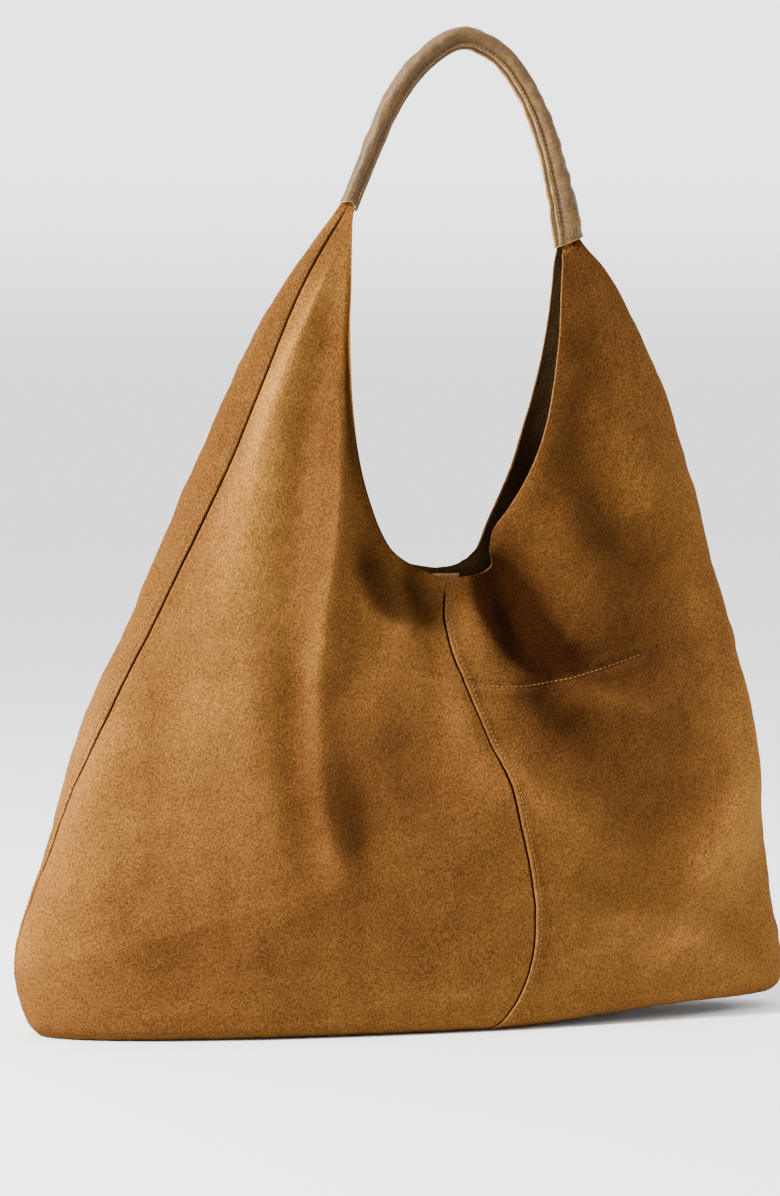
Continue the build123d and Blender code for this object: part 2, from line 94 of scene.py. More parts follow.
# Half depth of the body, squareness of its plan, and how much of the depth the closure takes away.
DEPTH = [(0, 54), (4, 60), (12, 62.5), (30, 63.5), (60, 63), (100, 60), (150, 53), (200, 45), (235, 40),
         (262, 37.5), (287, 36), (330, 33), (380, 27), (430, 19), (475, 10.5), (495, 7), (508, 5.2),
         (518, 3.7), (530, 3.1)]
SQUARE = [(0, 2.1), (60, 2.15), (200, 2.5), (430, 2.9), (475, 3.3), (530, 4.0)]
PINCH = [(0, 0), (200, 0.04), (235, 0.16), (262, 0.55), (280, 0.79), (300, 0.78), (330, 0.7), (380, 0.6),
         (430, 0.4), (475, 0.2), (500, 0), (530, 0)]
# Angle of the left side seam, from the left edge (0) towards the front (90).
LEFT_SEAM = [(0, -5), (60, -2), (100, 3), (150, 11), (200, 18), (262, 23), (330, 28), (380, 31), (430, 33),
             (475, 31), (530, 28)]
RIGHT_SEAM_ANGLE = 194.0

# Seams and rims as (x, z), seen from the front.
FRONT_CENTRE = [(38, 0), (44, 4), (52, 13), (60, 27), (66.5, 51), (67.5, 70), (65, 100), (60, 126),
                (52.5, 153), (41, 182), (28, 216), (21.5, 235), (20, 254), (24, 279)]
FRONT_RIM_LEFT = [(24, 279), (14, 284), (1, 289.5), (-15, 300), (-24, 314), (-30, 329), (-34.5, 344),
                  (-37.5, 359),
                  (-40.5, 390), (-41, 415), (-40.5, 440), (-38.6, 465), (-37.2, 491), (-36, 506),
                  (-33.6, 516),
                  (-29, 530)]
FRONT_RIM_RIGHT = [(24, 279), (36, 282), (45, 284), (50, 288), (50, 298), (52, 310), (60, 323), (70, 340),
                   (80, 363), (86, 383), (91, 405), (96, 432), (99, 462), (101.5, 486), (103.5, 510)]
BACK_CENTRE = [(9, 0), (12, 100), (17, 200), (22, 287)]
BACK_RIM_LEFT = [(22, 287), (12, 288), (0, 291), (-17, 302), (-28, 321), (-35, 345), (-37, 368),
                 (-35.5, 390),
                 (-35.5, 408), (-37.5, 425), (-39, 447), (-38.6, 467), (-37.2, 487), (-36, 503),
                 (-33.8, 515), (-30, 530)]
BACK_RIM_RIGHT = [(22, 287), (34, 289), (43.5, 296), (56, 312), (66, 329), (76, 348), (85, 374), (90, 393),
                  (96, 425), (98.5, 457), (100, 490), (101.5, 510)]
POCKET_SEAM = [(-59, 242), (-34, 233), (-1, 223), (27, 217), (58, 214), (89, 217), (122, 225), (145, 232)]
PANEL_TOP = {"left": 529.0, "right": 506.0}
CORNER_LIFT = 10.0                          # the base's right end stands this far off the ground

# Thin crests, where the suede is creased: points (x, z, width to the left, to the right, height outwards).
FRONT_CRESTS = [
    [(-39, 492, 3, 2, 0), (-42, 464, 4, 2, 1.2), (-46, 415, 5, 2.4, 2.0), (-50, 370, 6, 2.8, 2.6),
     (-53, 332, 6, 3, 2.8), (-58, 291, 6, 3.4, 2.4), (-65, 250, 5, 4, 1.6), (-70, 213, 5, 4, 1.2),
     (-72, 164, 4, 5, 1.4), (-69, 133, 4, 5, 1.2), (-58, 107, 5, 5, 0)],
    [(-47, 492, 2.5, 2.5, 0), (-57, 467, 3, 3, 1.2), (-73, 435, 3.5, 4, 1.8), (-87, 407, 4, 5, 2.2),
     (-97, 384, 5, 6, 2.0), (-103, 345, 8, 8, 1.6), (-118, 296, 12, 12, 1.0), (-122, 250, 12, 12, 0)],
    [(-50, 305, 4, 3, 0), (-46, 284, 4, 3.5, 1.2), (-34, 264, 5, 3.5, 2.0), (-12, 249, 5, 3.5, 1.8),
     (10, 237, 5, 4, 0)],
    [(45, 300, 2, 3, 0), (48, 284, 3, 3.5, 1.6), (51, 262, 4, 4, 1.6), (56, 240, 5, 5, 0)],
    [(88, 222, 4, 4, 0), (104, 211, 4, 4, 1.8), (126, 202, 5, 5, 2.4), (150, 195, 5, 5, 2.0),
     (172, 190, 5, 5, 0)],
    [(46, 180, 5, 5, 0), (60, 158, 6, 6, 1.8), (82, 138, 6, 6, 2.4), (106, 120, 6, 6, 2.2),
     (136, 98, 6, 6, 0)],
    [(206, 262, 4, 4, 0), (217, 214, 5, 4, 1.8), (222, 160, 5, 4, 2.0), (214, 116, 6, 5, 1.4),
     (198, 84, 6, 6, 0)],
]

# Soft folds of the front: points (x, z, width to the left, width to the right, height outwards).
FRONT_FOLDS = [
    # the long crest down from the left peak, past the pocket to the lower middle
    [(-37, 505, 4, 3, 0.4), (-40, 464, 9, 4, 2.5), (-46, 415, 10, 5, 3.4), (-50, 370, 12, 7, 3.8),
     (-56, 328, 13, 9, 4.2), (-62, 289, 13, 9, 4.2), (-65, 252, 12, 8, 4.0), (-70, 213, 10, 9, 3.5),
     (-72, 164, 7, 10, 4.0), (-70, 133, 6, 10, 4.5), (-58, 107, 7, 8, 3.5), (-44, 84, 9, 9, 0)],
    # the valley beside its lower half
    [(-78, 270, 12, 8, 0), (-79, 245, 12, 7, -2.5), (-80, 200, 12, 6, -4.0), (-80, 155, 12, 5, -4.0),
     (-74, 122, 11, 6, -3.0), (-60, 95, 12, 7, 0)],
    # the hollow inside the crest's lower bend
    [(-54, 170, 9, 14, 0), (-51, 145, 9, 14, -2.6), (-44, 121, 9, 14, -3.0), (-36, 96, 9, 14, 0)],
    # the broad ridge down the left
    [(-60, 496, 8, 8, 0), (-78, 440, 11, 11, 2.0), (-97, 382, 16, 14, 4.0), (-110, 320, 20, 18, 5.0),
     (-117, 262, 24, 22, 5.0), (-117, 205, 26, 24, 4.0), (-113, 160, 26, 26, 0)],
    # the hollow between it and the crest
    [(-54, 455, 7, 6, 0), (-62, 400, 9, 7, -2.5), (-68, 345, 10, 8, -3.5), (-77, 290, 11, 8, -3.0),
     (-84, 240, 12, 9, 0)],
    # hollow and ridge beside the left seam
    [(-86, 455, 6, 8, 0), (-112, 395, 7, 10, -1.8), (-138, 330, 9, 12, -2.5), (-158, 280, 10, 14, -2.5),
     (-176, 225, 12, 14, 0)],
    [(-243, 92, 10, 12, 0), (-232, 118, 11, 14, 3.0), (-216, 152, 13, 15, 4.5), (-194, 178, 14, 14, 4.0),
     (-172, 198, 12, 12, 0)],
    [(-176, 190, 12, 12, 0), (-160, 204, 12, 14, -3.0), (-140, 216, 12, 14, 0)],
    # soft dents low on the left
    [(-205, 96, 16, 16, 0), (-182, 84, 18, 20, -4.0), (-156, 50, 18, 20, -4.0), (-140, 30, 16, 18, 0)],
    [(-120, 96, 18, 18, 0), (-100, 70, 20, 20, 2.5), (-88, 44, 18, 18, 0)],
    # the two hollows below the left of the mouth, and the ridge that runs under them
    [(-22, 336, 8, 8, 0), (-27, 312, 9, 9, -4.0), (-27, 291, 10, 9, -6.5), (-20, 266, 10, 9, -4.0),
     (-12, 250, 8, 8, 0)],
    [(0, 300, 6, 7, -2.0), (4, 280, 7, 7, -4.5), (8, 262, 7, 7, -4.5), (13, 245, 7, 7, 0)],
    [(-50, 305, 6, 6, 0), (-44, 283, 6, 7, 2.5), (-32, 262, 7, 7, 4.0), (-10, 246, 7, 7, 4.0),
     (12, 234, 7, 7, 0)],
    # the soft ridge along the left of the centre seam
    [(16, 222, 7, 6, 0), (24, 196, 7, 6, 2.5), (36, 165, 8, 6, 2.5), (48, 130, 8, 6, 0)],
    [(-8, 212, 14, 14, 0), (-6, 180, 16, 16, -3.0), (3, 140, 16, 16, -2.5), (10, 110, 14, 14, 0)],
    # the deep hollow right of the closure
    [(47, 300, 5, 12, -4.0), (53, 281, 6, 14, -8.0), (60, 260, 7, 16, -9.5), (70, 243, 9, 16, -7.0),
     (90, 229, 9, 13, -3.5), (116, 226, 8, 9, 0)],
    [(30, 268, 6, 6, 0), (38, 256, 7, 7, 2.5), (46, 238, 8, 8, 2.0), (52, 224, 8, 8, 0)],
    # the soft ridge from the right rim down into the right panel, and the hollow beyond it
    [(88, 330, 12, 14, 0), (96, 304, 14, 14, 1.6), (108, 278, 14, 14, 2.6), (124, 250, 13, 12, 2.0),
     (136, 236, 12, 10, 0)],
    [(96, 372, 12, 12, 0), (108, 340, 13, 14, -3.5), (128, 310, 13, 14, -5.0), (160, 284, 13, 14, -4.5),
     (190, 258, 12, 12, 0)],
    [(120, 400, 14, 14, 0), (138, 370, 14, 14, 2.5), (160, 330, 14, 14, 3.0), (178, 300, 12, 12, 0)],
    # ripples high on the right
    [(100, 440, 8, 8, 0), (118, 420, 8, 9, -1.2), (140, 396, 8, 9, 0)],
    [(104, 474, 6, 6, 0), (114, 452, 7, 7, 0.9), (130, 428, 7, 7, 0)],
    # under the pocket's seam on the right: a hollow between two ridges
    [(62, 216, 8, 9, 0), (78, 206, 8, 10, -2.6), (98, 190, 9, 11, -3.0), (126, 168, 10, 12, 0)],
    [(84, 218, 7, 7, 0), (104, 208, 8, 8, 3.5), (126, 200, 9, 9, 4.5), (148, 194, 11, 9, 3.5),
     (172, 190, 10, 9, 0)],
    [(48, 178, 9, 9, 0), (60, 156, 10, 10, 4.0), (80, 138, 10, 10, 5.0), (104, 122, 11, 11, 4.5),
     (134, 98, 11, 11, 2.5), (156, 80, 10, 10, 0)],
    [(92, 96, 14, 14, 0), (120, 82, 14, 14, -3.5), (160, 84, 14, 14, -3.0), (190, 92, 12, 12, 0)],
    # the edge down the right end
    [(178, 318, 12, 10, 0), (196, 282, 13, 9, 2.5), (212, 248, 14, 8, 4.0), (219, 196, 14, 8, 5.0),
     (219, 142, 14, 9, 5.0), (206, 100, 14, 12, 4.0), (176, 66, 14, 14, 0)],
    [(136, 26, 12, 12, 0), (160, 32, 12, 12, 3.5), (184, 42, 12, 12, 3.5), (204, 62, 10, 10, 0)],
    [(186, 70, 9, 9, 0), (202, 54, 9, 9, -3.5), (220, 36, 9, 9, -4.0), (232, 24, 8, 8, 0)],
]

# Painted light and shade on the front, darker or lighter: points (x, z, width to the left, to the right,
# painted lightness).
FRONT_PAINTED_SHADING = [
    # painted shade on the right panel, under the strap and down beside the mouth
    [(108, 500, 40, 26, -0.66), (102, 420, 36, 44, -0.7), (104, 360, 40, 52, -0.7),
     (112, 290, 44, 60, -0.68),
     (122, 230, 46, 56, -0.65), (130, 180, 48, 48, -0.58), (140, 130, 44, 40, -0.42), (150, 90, 34, 40, 0)],
    # painted shade under the mouth, on both sides of the centre seam
    [(-34, 350, 10, 18, 0), (-24, 300, 24, 24, -0.36), (0, 268, 30, 24, -0.42), (30, 252, 36, 30, -0.34),
     (60, 226, 34, 26, -0.26), (80, 190, 26, 26, -0.15), (96, 160, 24, 26, 0)],
    [(60, 345, 8, 14, 0), (55, 312, 10, 19, -0.3), (58, 280, 12, 22, -0.33), (72, 246, 14, 18, -0.28),
     (92, 222, 14, 14, 0)],
    # painted shade in the deep hollow right of the closure and in the two hollows left of it
    [(42, 300, 4, 9, -0.15), (43, 284, 5, 10, -0.55), (46, 264, 6, 12, -0.7), (55, 246, 8, 12, -0.55),
     (74, 235, 10, 11, -0.3), (100, 229, 10, 9, -0.22), (122, 230, 10, 9, 0)],
    [(-26, 312, 9, 8, 0), (-25, 290, 10, 9, -0.2), (-16, 268, 10, 10, -0.12), (-8, 256, 10, 10, 0)],
    [(2, 296, 6, 7, -0.1), (4, 278, 7, 7, -0.28), (10, 256, 7, 6, -0.16), (14, 240, 6, 6, 0)],
    # painted shade in the hollow under the pocket's seam on the right
    [(48, 216, 8, 10, 0), (62, 206, 9, 14, -0.12), (98, 188, 10, 14, -0.06), (122, 166, 12, 14, -0.05),
     (140, 150, 12, 16, 0)],
    # painted shade beside the long crest, painted highlights along it and along the ridge beyond it, and
    # painted shade in the hollows beyond those
    [(-38, 480, 3, 10, -0.12), (-43, 410, 4, 14, -0.36), (-46, 350, 4, 18, -0.38), (-54, 290, 5, 22, -0.26),
     (-60, 230, 5, 30, -0.2), (-68, 170, 5, 40, -0.16), (-64, 120, 6, 44, 0)],
    [(-38, 480, 1.5, 1.2, 0.1), (-40, 460, 2, 1.3, 0.28), (-45, 412, 2.2, 1.4, 0.34),
     (-49, 368, 2.4, 1.6, 0.34),
     (-52, 330, 2.6, 1.8, 0.3), (-58, 290, 3, 2, 0.22), (-65, 250, 5, 3, 0.12), (-70, 213, 5, 4, 0)],
    [(-50, 484, 2, 2.5, 0), (-57, 467, 2.5, 3, 0.25), (-73, 436, 3, 4, 0.3), (-87, 407, 4, 5, 0.35),
     (-95, 384, 6, 7, 0.4), (-99, 345, 8, 10, 0.45), (-112, 300, 13, 14, 0.25), (-122, 250, 14, 14, 0)],
    [(-50, 468, 6, 5, 0), (-54, 415, 6, 5, -0.32), (-57, 365, 7, 5, -0.48), (-61, 325, 8, 6, -0.52),
     (-69, 285, 10, 8, -0.44), (-80, 230, 11, 9, -0.36), (-80, 180, 11, 9, -0.4), (-78, 140, 11, 9, -0.36),
     (-72, 112, 11, 9, 0)],
    [(-124, 352, 8, 9, 0), (-129, 322, 9, 10, -0.2), (-142, 290, 10, 12, -0.24), (-152, 255, 12, 12, 0)],
    # painted shade low on the left
    [(-150, 320, 30, 22, 0), (-150, 270, 34, 26, -0.14), (-150, 200, 44, 40, -0.1),
     (-130, 100, 70, 60, -0.18),
     (-110, 40, 90, 80, -0.16), (-100, 0, 90, 80, -0.12)],
    # painted shade over the middle and the bottom and in the crest's lower bend, and a painted highlight on
    # the ridge left of the centre seam
    [(-60, 240, 30, 90, -0.04), (-40, 180, 50, 90, -0.2), (0, 110, 90, 100, -0.36),
     (0, 50, 150, 130, -0.35),
     (0, 0, 150, 130, -0.2)],
    [(-66, 190, 6, 14, 0), (-56, 146, 9, 14, -0.16), (-44, 114, 10, 14, -0.14), (-28, 88, 12, 16, 0)],
    [(18, 214, 6, 6, 0), (28, 190, 7, 6, 0.15), (40, 160, 8, 6, 0.12), (50, 128, 9, 6, 0)],
    # the right end, with a painted highlight
    [(196, 300, 20, 12, 0), (216, 235, 16, 12, 0.15), (226, 160, 16, 12, 0.3), (218, 110, 18, 14, 0.4),
     (190, 70, 24, 16, 0.15), (160, 50, 24, 20, 0)],
]
# Painted shade on the back, which shows beyond the left side seam, given as for the front.
BACK_PAINTED_SHADING = [
    [(-66, 480, 24, 20, -0.34), (-98, 425, 24, 24, -0.5), (-130, 360, 28, 28, -0.36),
     (-164, 292, 28, 28, -0.34),
     (-196, 240, 24, 24, -0.2), (-216, 190, 24, 24, 0)],
]

# Soft folds of the back, given as those of the front.
BACK_FOLDS = [
    [(-42, 500, 6, 6, 0), (-60, 440, 10, 10, 2.5), (-84, 360, 16, 16, 4.5), (-104, 280, 20, 22, 5.5),
     (-112, 200, 24, 26, 4.0), (-108, 130, 26, 26, 0)],
    [(-62, 420, 9, 9, 0), (-56, 350, 11, 11, -3.0), (-50, 300, 12, 12, -5.0), (-60, 240, 14, 14, -4.0),
     (-74, 180, 14, 14, 0)],
    [(-30, 330, 9, 9, 0), (-18, 290, 9, 9, -7.0), (-4, 258, 9, 9, -6.0), (4, 226, 9, 9, 0)],
    [(40, 312, 9, 9, 0), (52, 280, 9, 10, -9.0), (68, 246, 10, 11, -6.0), (84, 210, 10, 10, 0)],
    [(98, 460, 8, 8, 0), (96, 380, 12, 12, 3.5), (104, 300, 15, 15, 6.0), (126, 220, 18, 18, 5.0),
     (140, 150, 20, 20, 2.0), (150, 110, 18, 18, 0)],
    [(130, 400, 12, 12, 0), (148, 330, 13, 14, -3.5), (172, 250, 14, 16, -4.0), (192, 180, 14, 14, 0)],
    [(-60, 150, 14, 14, 0), (-20, 112, 16, 16, 4.0), (34, 92, 16, 16, 4.5), (84, 96, 14, 14, 0)],
    [(-150, 190, 14, 14, 0), (-168, 140, 16, 16, -3.5), (-170, 84, 16, 16, -3.5), (-150, 40, 14, 14, 0)],
    [(20, 180, 12, 12, 0), (44, 150, 14, 14, -4.0), (92, 132, 14, 14, -3.5), (130, 120, 12, 12, 0)],
    [(-214, 150, 12, 12, 0), (-218, 100, 12, 12, 3.5), (-204, 56, 12, 12, 3.0), (-186, 26, 10, 10, 0)],
    [(206, 250, 10, 10, 0), (214, 180, 12, 12, 4.0), (208, 110, 14, 14, 4.0), (184, 50, 12, 12, 0)],
]


# ---- curves and fields ----
def curve(table, at):
    """Values of a two-column table at given places, on a smooth curve through its rows."""
    knots, values = np.array(table, float).T
    at = np.clip(np.asarray(at, float), knots[0], knots[-1])
    i = np.clip(np.searchsorted(knots, at, side="right") - 1, 0, len(knots) - 2)
    slopes = np.gradient(values, knots)
    span = knots[i + 1] - knots[i]
    t = (at - knots[i]) / span
    return (values[i] * (2 * t**3 - 3 * t**2 + 1) + values[i + 1] * (3 * t**2 - 2 * t**3)
            + span * (slopes[i] * (t**3 - 2 * t**2 + t) + slopes[i + 1] * (t**3 - t**2)))


def smoothstep(low, high, x):
    """0 up to low, 1 from high on, and a smooth rise between them; low may be the larger one."""
    t = np.clip((x - low) / (high - low), 0, 1)
    return t * t * (3 - 2 * t)


def bell(distance, width):
    """1 at distance 0, falling off smoothly to nothing within about two widths."""
    return np.exp(-((distance / width) ** 2))


def reach_along(points):
    """How far each point of a line is from its start, along it."""
    return np.concatenate([[0], np.cumsum(np.linalg.norm(np.diff(points, axis=0), axis=1))])


def columns_at(at, reach, values):
    """Rows of a table of values at given reaches."""
    return np.stack([np.interp(at, reach, column) for column in values.T], -1)


def line_through(points, count):
    """count points, evenly spaced along a smooth line through the given ones."""
    points = np.array(points, float)
    reach = reach_along(points)
    fine = np.linspace(0, reach[-1], 40 * len(points))
    dense = np.stack([curve(np.stack([reach, column], 1), fine) for column in points.T], 1)
    length = reach_along(dense)
    return columns_at(np.linspace(0, length[-1], count), length, dense)


def line_length(points):
    line = line_through(points, 200)
    return np.linalg.norm(np.diff(line, axis=0), axis=1).sum()


def nearest(points, x, z):
    """Distance to a polyline in the front view, the side (+1 right of it), and the place along it."""
    best = np.full(x.shape, 1e9)
    side = np.zeros(x.shape)
    place = np.zeros(x.shape)
    for k, ((ax, az), (bx, bz)) in enumerate(zip(points[:-1], points[1:])):
        dx, dz = bx - ax, bz - az
        t = np.clip(((x - ax) * dx + (z - az) * dz) / (dx * dx + dz * dz), 0, 1)
        ox, oz = x - ax - t * dx, z - az - t * dz
        distance = np.hypot(ox, oz)
        closer = distance < best
        best = np.where(closer, distance, best)
        across = ox * -dz + oz * dx
        side = np.where(closer, np.where(across >= 0, 1.0, -1.0), side)
        place = np.where(closer, k + t, place)
    return best, side, place


def fold_height(folds, x, z, power=2.0):
    """The sum of soft folds; a power below 2 makes their tops sharper."""
    total = np.zeros(x.shape)
    for fold in folds:
        rows = np.array(fold, float)
        distance, side, place = nearest(rows[:, :2], x, z)
        index = np.arange(len(rows))
        left, right, height = (np.interp(place, index, rows[:, column]) for column in (2, 3, 4))
        # A fold's first point is its upper one, so its left is on the positive side of its direction.
        width = np.where(side * np.sign(rows[0, 1] - rows[-1, 1]) > 0, right, left)
        total += height * np.exp(-0.5 * (distance / width) ** power)
    return total


def ripple(x, y, z, wavelength, seed, waves=14):
    """Smooth seeded unevenness about zero, with the given wavelength."""
    rng = np.random.default_rng(seed)
    total = np.zeros(x.shape)
    for _ in range(waves):
        direction = rng.normal(size=3)
        direction /= np.linalg.norm(direction)
        k = 2 * math.pi / (wavelength * rng.uniform(0.7, 1.5))
        total += np.cos(k * (direction[0] * x + direction[1] * y + direction[2] * z) + rng.uniform(0, 6.3))
    return total / math.sqrt(waves / 2)


# ---- the body's smooth shape ----
def middle_and_half(z):
    """The middle of the body's width at a height, and half that width."""
    left, right = curve(LEFT_EDGE, z), curve(RIGHT_EDGE, z)
    return (left + right) / 2, (right - left) / 2


def body(angle, z):
    """Points of the body. The angle runs from its left edge (0) by the front (90) to its right edge (180)."""
    middle, half = middle_and_half(z)
    power = 2 / curve(SQUARE, z)
    c, s = np.cos(np.radians(angle)), np.sin(np.radians(angle))
    x = middle - np.sign(c) * np.abs(c) ** power * half
    share = 1 - curve(PINCH, z) * bell(x - MOUTH_X, PINCH_SPREAD)
    y = -np.sign(s) * np.abs(s) ** power * curve(DEPTH, z) * share
    return np.stack([x, y, np.broadcast_to(z, x.shape)], -1)


def angle_at(x, z, front=True):
    """The angle at which the front or the back of the body passes a place in the front view."""
    middle, half = middle_and_half(z)
    c = np.clip((middle - x) / half, -1, 1)
    angle = np.degrees(np.arccos(np.sign(c) * np.abs(c) ** (curve(SQUARE, z) / 2)))
    return angle if front else 360 - angle


def units(vectors):
    return vectors / np.maximum(np.linalg.norm(vectors, axis=-1, keepdims=True), 1e-9)


def normals_of(grid):
    return units(np.cross(np.gradient(grid, axis=1), np.gradient(grid, axis=0)))


# ---- meshes ----
def new_object(name, vertices, faces, materials, face_materials=None, smooth=True):
    """A mesh object in the scene, from vertices in millimetres."""
    mesh = bpy.data.meshes.new(name)
    mesh.from_pydata([tuple(v) for v in np.asarray(vertices, float) * MM], [], [tuple(f) for f in faces])
    for material in materials:
        mesh.materials.append(material)
    if face_materials is not None:
        mesh.polygons.foreach_set("material_index", np.asarray(face_materials, np.int32))
    mesh.polygons.foreach_set("use_smooth", np.full(len(mesh.polygons), smooth))
    mesh.validate()
    mesh.update()
    obj = bpy.data.objects.new(name, mesh)
    bpy.context.scene.collection.objects.link(obj)
    return obj


def paint_light_and_shade(obj, values):
    """Painted light (up to 1) and painted shade (down to -1) at each vertex."""
    layer = obj.data.attributes.new("painted_shading", "FLOAT", "POINT")
    layer.data.foreach_set("value", np.asarray(values, np.float32))


def grid_faces(rows, columns, start=0, wrap=False):
    """Quads over a grid of vertices, with its last column joined to its first if it wraps."""
    r = np.arange(rows - 1)[:, None]
    c = np.arange(columns if wrap else columns - 1)[None, :]
    after = (c + 1) % columns
    row, below = r * columns, (r + 1) * columns
    return np.stack([row + c, row + after, below + after, below + c], -1).reshape(-1, 4) + start


def tube_faces(count, around):
    """The faces of a closed tube of count rings."""
    last = (count - 1) * around
    sides = [tuple(f) for f in grid_faces(count, around, wrap=True)]
    return [*sides, tuple(range(around - 1, -1, -1)), tuple(range(last, last + around))]


def room_behind(grid, normal, thickness):
    """The share of its thickness that a sheet keeps where it turns too tightly to hold all of it."""
    turn = np.linalg.norm(np.diff(normal, axis=1), axis=2)
    step = np.maximum(np.linalg.norm(np.diff(grid, axis=1), axis=2), 1e-6)
    bend = np.pad(turn / step, ((0, 0), (1, 1)), mode="edge")
    bend = np.maximum(bend[:, :-1], bend[:, 1:])
    share = np.clip(0.5 / (bend * thickness + 1e-6), 0.15, 1.0)
    for _ in range(2):                      # and its neighbours keep no more than it does
        wide = np.pad(share, ((1, 1), (1, 1)), mode="edge")
        share = np.minimum.reduce([
            wide[1:-1, :-2], wide[1:-1, 1:-1], wide[1:-1, 2:], wide[:-2, 1:-1], wide[2:, 1:-1]])
    return share


def thick_sheet(name, grid, thickness, materials, painted_shading=None, flip=False, edge_bulge=0.35):
    """A closed sheet: the grid is its outer face, the inner one lies a thickness behind, its edges are round.

    Its materials are those of the outer face, the inner face and the edges.
    """
    rows, columns = grid.shape[:2]
    normal = normals_of(grid) * (-1 if flip else 1)
    inner = grid - normal * (thickness * room_behind(grid, normal, thickness))[..., None]
    count = rows * columns
    ring = np.concatenate([
        np.arange(columns), np.arange(1, rows) * columns + columns - 1,
        (rows - 1) * columns + np.arange(columns - 2, -1, -1), np.arange(rows - 2, 0, -1) * columns])
    flat_outer, flat_inner = grid.reshape(-1, 3), inner.reshape(-1, 3)
    rim = (flat_outer[ring] + flat_inner[ring]) / 2
    outward = np.zeros((rows, columns, 3))
    outward[0] += grid[0] - grid[1]
    outward[-1] += grid[-1] - grid[-2]
    outward[:, 0] += grid[:, 0] - grid[:, 1]
    outward[:, -1] += grid[:, -1] - grid[:, -2]
    rim = rim + units(outward.reshape(-1, 3)[ring]) * edge_bulge
    faces_outer = grid_faces(rows, columns)
    faces_inner = faces_outer[:, ::-1] + count
    around = np.arange(len(ring))
    after = np.roll(around, -1)
    rim_start = 2 * count
    first = np.stack([ring[after], ring, rim_start + around, rim_start + after], 1)
    second = np.stack([rim_start + after, rim_start + around, ring + count, ring[after] + count], 1)
    faces = np.concatenate([faces_outer, faces_inner, first, second])
    if flip:
        faces = faces[:, ::-1]
    kinds = np.concatenate([np.zeros(len(faces_outer)), np.ones(len(faces_inner)), np.full(2 * len(ring), 2)])
    obj = new_object(name, np.concatenate([flat_outer, flat_inner, rim]), faces, materials, kinds)
    if painted_shading is not None:
        painted_shading = painted_shading.reshape(-1)
        paint_light_and_shade(obj, np.concatenate([painted_shading, painted_shading, painted_shading[ring]]))
    return obj


def tube(path, a, b, section):
    """Vertices and faces of a closed tube along a path, whose section is given in directions a and b."""
    rings = path[:, None] + section[..., :1] * a[:, None] + section[..., 1:] * b[:, None]
    return rings.reshape(-1, 3), tube_faces(*rings.shape[:2])


def round_tube(path, sides, radius):
    """The same with a round section."""
    tangents = units(np.gradient(path, axis=0))
    side = units(np.cross(tangents, [0.31, 0.17, 0.93]))
    turn = np.linspace(0, 2 * math.pi, sides, endpoint=False)
    section = np.stack([np.cos(turn), np.sin(turn)], -1)[None] * radius
    return tube(path, side, np.cross(tangents, side), section)


def merged(parts):
    """Vertices and faces of several (vertices, faces) joined into one."""
    vertices, faces, start = [], [], 0
    for v, f in parts:
        vertices.append(v)
        faces.extend(tuple(int(i) + start for i in face) for face in f)
        start += len(v)
    return np.concatenate(vertices), faces


# ---- materials ----
class Nodes:
    """Builds the node tree of a material or a world in few words."""

    def __init__(self, owner):
        owner.use_nodes = True
        self.owner = owner
        self.tree = owner.node_tree

    def new(self, kind, inputs=None, **settings):
        node = self.tree.nodes.new(kind)
        for key, value in settings.items():
            setattr(node, key, value)
        for key, value in (inputs or {}).items():
            self.put(value, node.inputs[key])
        return node

    def put(self, value, socket):
        if isinstance(value, bpy.types.NodeSocket):
            self.tree.links.new(value, socket)
        else:
            socket.default_value = value

    def place(self):
        return self.new("ShaderNodeTexCoord").outputs["Object"]

    def noise(self, size_mm, detail=3.0, roughness=0.55, distortion=0.0):
        return self.new("ShaderNodeTexNoise", {
            "Vector": self.place(), "Scale": 1000.0 / size_mm, "Detail": detail,
            "Roughness": roughness, "Distortion": distortion}).outputs["Fac"]

    def wave(self, scale, direction, distortion):
        return self.new("ShaderNodeTexWave", {
            "Vector": self.place(), "Scale": scale, "Distortion": distortion},
            bands_direction=direction).outputs["Fac"]

    def remap(self, value, low, high, to_low=0.0, to_high=1.0, how="LINEAR"):
        return self.new("ShaderNodeMapRange", {
            "Value": value, "From Min": low, "From Max": high, "To Min": to_low, "To Max": to_high},
            interpolation_type=how).outputs[0]

    def math(self, operation, a, b=0.0):
        return self.new("ShaderNodeMath", {0: a, 1: b}, operation=operation).outputs[0]

    def mix(self, amount, a, b, blend="MIX"):
        node = self.new("ShaderNodeMix", data_type="RGBA", blend_type=blend)
        self.put(amount, node.inputs[0])
        self.put(a, node.inputs[6])
        self.put(b, node.inputs[7])
        return node.outputs[2]

    def bump(self, height, strength, distance_mm, normal=None):
        inputs = {"Height": height, "Strength": strength, "Distance": distance_mm * MM}
        if normal is not None:
            inputs["Normal"] = normal
        return self.new("ShaderNodeBump", inputs).outputs[0]

    def finish(self, **values):
        """Sets the shader's inputs, whose names have _ for a space."""
        shader = self.tree.nodes["Principled BSDF"]
        for key, value in values.items():
            self.put(value, shader.inputs[key.replace("_", " ")])
        return self.owner


def colour(red, green, blue):
    """A display colour from 0 to 255, as the linear colour that a shader takes."""
    def linear(v):
        v /= 255
        return v / 12.92 if v <= 0.04045 else ((v + 0.055) / 1.055) ** 2.4
    return (linear(red), linear(green), linear(blue), 1.0)


